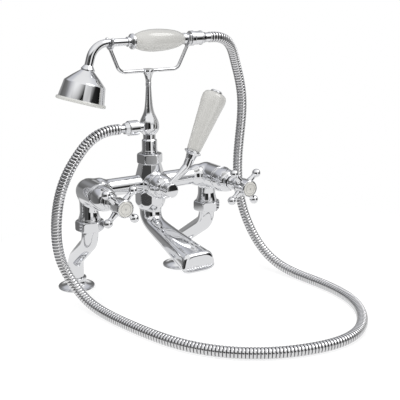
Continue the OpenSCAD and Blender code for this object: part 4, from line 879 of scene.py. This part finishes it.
# Hand shower: a bent chromed neck, a bead and a cup, the ceramic grip, and a turned tail with the hose
# nut and ferrule. The pieces are screwed together along one axis, with the grip between cup and tail.
NECK_BEND, NECK_R, NECK_START, NECK_TUBE, NECK_SWELL = math.radians(73.3), 24.5, -57.5, 4.7, 0.8
neck_way = Vector((math.sin(NECK_BEND), 0, -math.cos(NECK_BEND)))
neck_end = Vector((NECK_R * (1 - math.cos(NECK_BEND)), 0, NECK_START - NECK_R * math.sin(NECK_BEND)))
made = bmesh.new()
neck_line = rounded([(0, 0, -24, 0), (0, 0, NECK_START, 0),
                     (0, 0, NECK_START - NECK_R * math.tan(NECK_BEND / 2), NECK_R),
                     (*(neck_end + 12 * neck_way), 0)])
swept(made, [along_handset @ p for p in neck_line],
      [0.001 * (NECK_TUBE + NECK_SWELL * min(1, max(0, (NECK_START - p.z) / NECK_R))) for p in neck_line], 40)
fit(piece("neck_tube", made, chrome), "handset", "chrome", "handset_neck")
turning("neck_ring", "neck_bead", "handset", along_handset, [
    (4.7, -30, 0.3), (6.2, -30, 1.9), (6.2, -26, 1.9), (4.7, -26, 0.3)], closed=True)
turning("grip_socket", "grip_cup", "handset", along_handset, [
    (4.7, -26, 0), (6.85, -26, 0.4), (9.85, -23.6, 1.2), (9.85, -21, 0.8), (9.05, -20, 0.4), (4.7, -20, 0)],
    closed=True)
grip = [(14.3 * (0.2 + 0.8 * math.cos(a)), 10 + 32 * math.sin(a), 0)
        for a in [math.radians(-60 + 6 * k) for k in range(10)]]
grip += [(7.2 + 7.1 * max(0, math.cos(a)) ** 1.3, 10 + 39.5 * math.sin(a), 0)
         for a in [math.radians(5 * k) for k in range(18)]]
turning("grip_ceramic", "handset_grip", "handset", along_handset, [
    (0, -22, 0), (8.4, -22, 0.4), *grip, (7.2, 49.7, 1), (7.2, 51.5, 0.5), (0, 51.5, 0)],
    (ceramic, "ceramic"))
turning("tail_spindle", "handset_tail", "handset", along_handset, [
    (0, 51.5, 0), (7.3, 51.5, 0.6), (7.3, 56.5, 0.8), (5.5, 56.5, 0.6), (5.5, 62.5, 0.6), (9.7, 62.5, 0.8),
    (9.7, 68, 0.8), (0, 68, 0)])
turning("tail_nut", "tail_hose_nut", "handset", along_handset, [
    (6.3, 68, 0), (8, 68, 0.4), (8.6, 68.8, 0.5), (8.6, 78.4, 0.3), (9.3, 78.8, 0.3), (9.3, 80.4, 0.4),
    (8.1, 81.2, 0.5), (6.9, 85.4, 0.8), (6.3, 86, 0.3)], closed=True)
turning("tail_sleeve", "tail_ferrule", "handset", along_handset, [
    (0, 78, 0), (6.2, 78, 0), (6.2, 94, 0.5), (0, 94, 0)])


# Rose: a spun brass bell with a shouldered crown, chromed and screwed to the neck, a thick white rim and
# a satin face plate with rings of jets, drawn as near-black discs of painted shade.
ROSE_SIDES, ROSE_OUT = 96, 54.4
rim_at = neck_end + ROSE_OUT * neck_way
face_out = (-neck_way).to_track_quat("Z", "Y").to_matrix().to_4x4()
at_rose = along_handset @ Matrix.Translation(rim_at) @ face_out
turning("rose_skirt", "rose_bell", "handset", at_rose, [
    (0, 2.2, 0), (29.2, 2.2, 0), (26, 22.8, 4), (17.2, 31.3, 14), (7.9, 39.3, 0.3), (8.9, 39.7, 0.3),
    (8.7, 40.8, 0.5), (6.2, 44.6, 1), (5.7, 45.4, 0.3), (0, 45.4, 0)], slices=ROSE_SIDES)
rim_white, _, _ = glazed("rim_white", (0.62, 0.62, 0.595), (0.68, 0.68, 0.655))
turning("rose_edge", "rose_rim", "handset", at_rose, [
    (27.9, -2.2, 0.6), (31.5, -2.2, 2.1), (31.5, 2.2, 2.1), (27.9, 2.2, 0)], (rim_white, "rim"), closed=True,
    slices=ROSE_SIDES)
plate = metal("plate", (0.74, 0.74, 0.75), 0.22, 0.34)
# The jets are near-black discs on the face plate: painted shade that stands for the insides of their holes.
jet_dark = metal("jet", (0.04, 0.04, 0.04), 0.5, 0.6)
turning("rose_plate", "rose_face", "handset", at_rose, [
    (0, -1.1, 0), (27.8, -1.1, 0.3), (27.8, 1.1, 0), (0, 1.1, 0)], (plate, "rose_plate"), slices=ROSE_SIDES)
jets, start, end = geometry_tree("jets", [("Radius", "Float"), ("Depth", "Float"), ("Turn", "Rotation"),
                                          ("Dark", "Material")])
hole = jets.nodes.new("GeometryNodeMeshCylinder")
hole.inputs["Vertices"].default_value = 14
drill = jets.nodes.new("GeometryNodeInstanceOnPoints")
real = jets.nodes.new("GeometryNodeRealizeInstances")
dark = jets.nodes.new("GeometryNodeSetMaterial")
wired(jets.links.new, [
    (start, "Geometry", drill, "Points"), (start, "Radius", hole, "Radius"),
    (start, "Depth", hole, "Depth"), (hole, "Mesh", drill, "Instance"),
    (start, "Turn", drill, "Rotation"), (drill, "Instances", real, "Geometry"),
    (real, "Geometry", dark, "Geometry"), (start, "Dark", dark, "Material"),
    (dark, "Geometry", end, "Geometry")])
JET_PITCH, JET_RINGS, JET_LEVEL = 6, 4, -0.9
spots = [at_rose @ Vector((JET_PITCH * n * math.cos(a), JET_PITCH * n * math.sin(a), JET_LEVEL))
         for n in range(1, JET_RINGS + 1) for a in [math.pi * k / (3 * n) for k in range(6 * n)]]
holes = grown("rose_jets", spots, [], jets, {"Radius": 0.0009, "Depth": 0.0008, "Dark": jet_dark,
                                             "Turn": at_rose.to_3x3().normalized().to_euler()})
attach(holes, "handset")


# Pieces inside and below the deck that keep their CAD form: brass valves, screws and back nuts,
# rubber deck and hose washers, and fibre washers in the unions and under the riser.
def dull(name, light, dark_colour, rough, grain):
    """A matt material with a fine two-tone grain."""
    material = bpy.data.materials.new(name)
    material.use_nodes = True
    nodes = material.node_tree.nodes
    shader = nodes["Principled BSDF"]
    where = nodes.new("ShaderNodeTexCoord")
    speck = nodes.new("ShaderNodeTexNoise")
    speck.inputs["Scale"].default_value = grain
    tone = nodes.new("ShaderNodeMix")
    tone.data_type = "RGBA"
    tone.inputs["A"].default_value = (*light, 1)
    tone.inputs["B"].default_value = (*dark_colour, 1)
    wired(material.node_tree.links.new, [
        (where, "Object", speck, "Vector"), (speck, "Fac", tone, "Factor"),
        (tone, "Result", shader, "Base Color")])
    shader.inputs["Roughness"].default_value = rough
    return material


brass = metal("brass", (0.78, 0.58, 0.26), 0.18, 0.32)
rubber = dull("rubber", (0.05, 0.05, 0.05), (0.02, 0.02, 0.02), 0.75, 500)
fibre = dull("fibre", (0.42, 0.25, 0.14), (0.3, 0.17, 0.09), 0.8, 900)
KEPT = {brass: ["hot_back_nut", "cold_back_nut", "hot_cartridge", "cold_cartridge", "hot_spindle",
                "cold_spindle", "hot_handle_screw", "cold_handle_screw", "diverter_spool", "lever_tie_rod"],
        rubber: ["outlet_washer", "tail_washer", "hot_deck_washer", "cold_deck_washer"],
        fibre: ["riser_washer", "hot_union_washer", "cold_union_washer"]}
for material, kept in KEPT.items():
    for node in kept:
        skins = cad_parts[node].data.materials
        for index in range(len(skins)):
            skins[index] = material
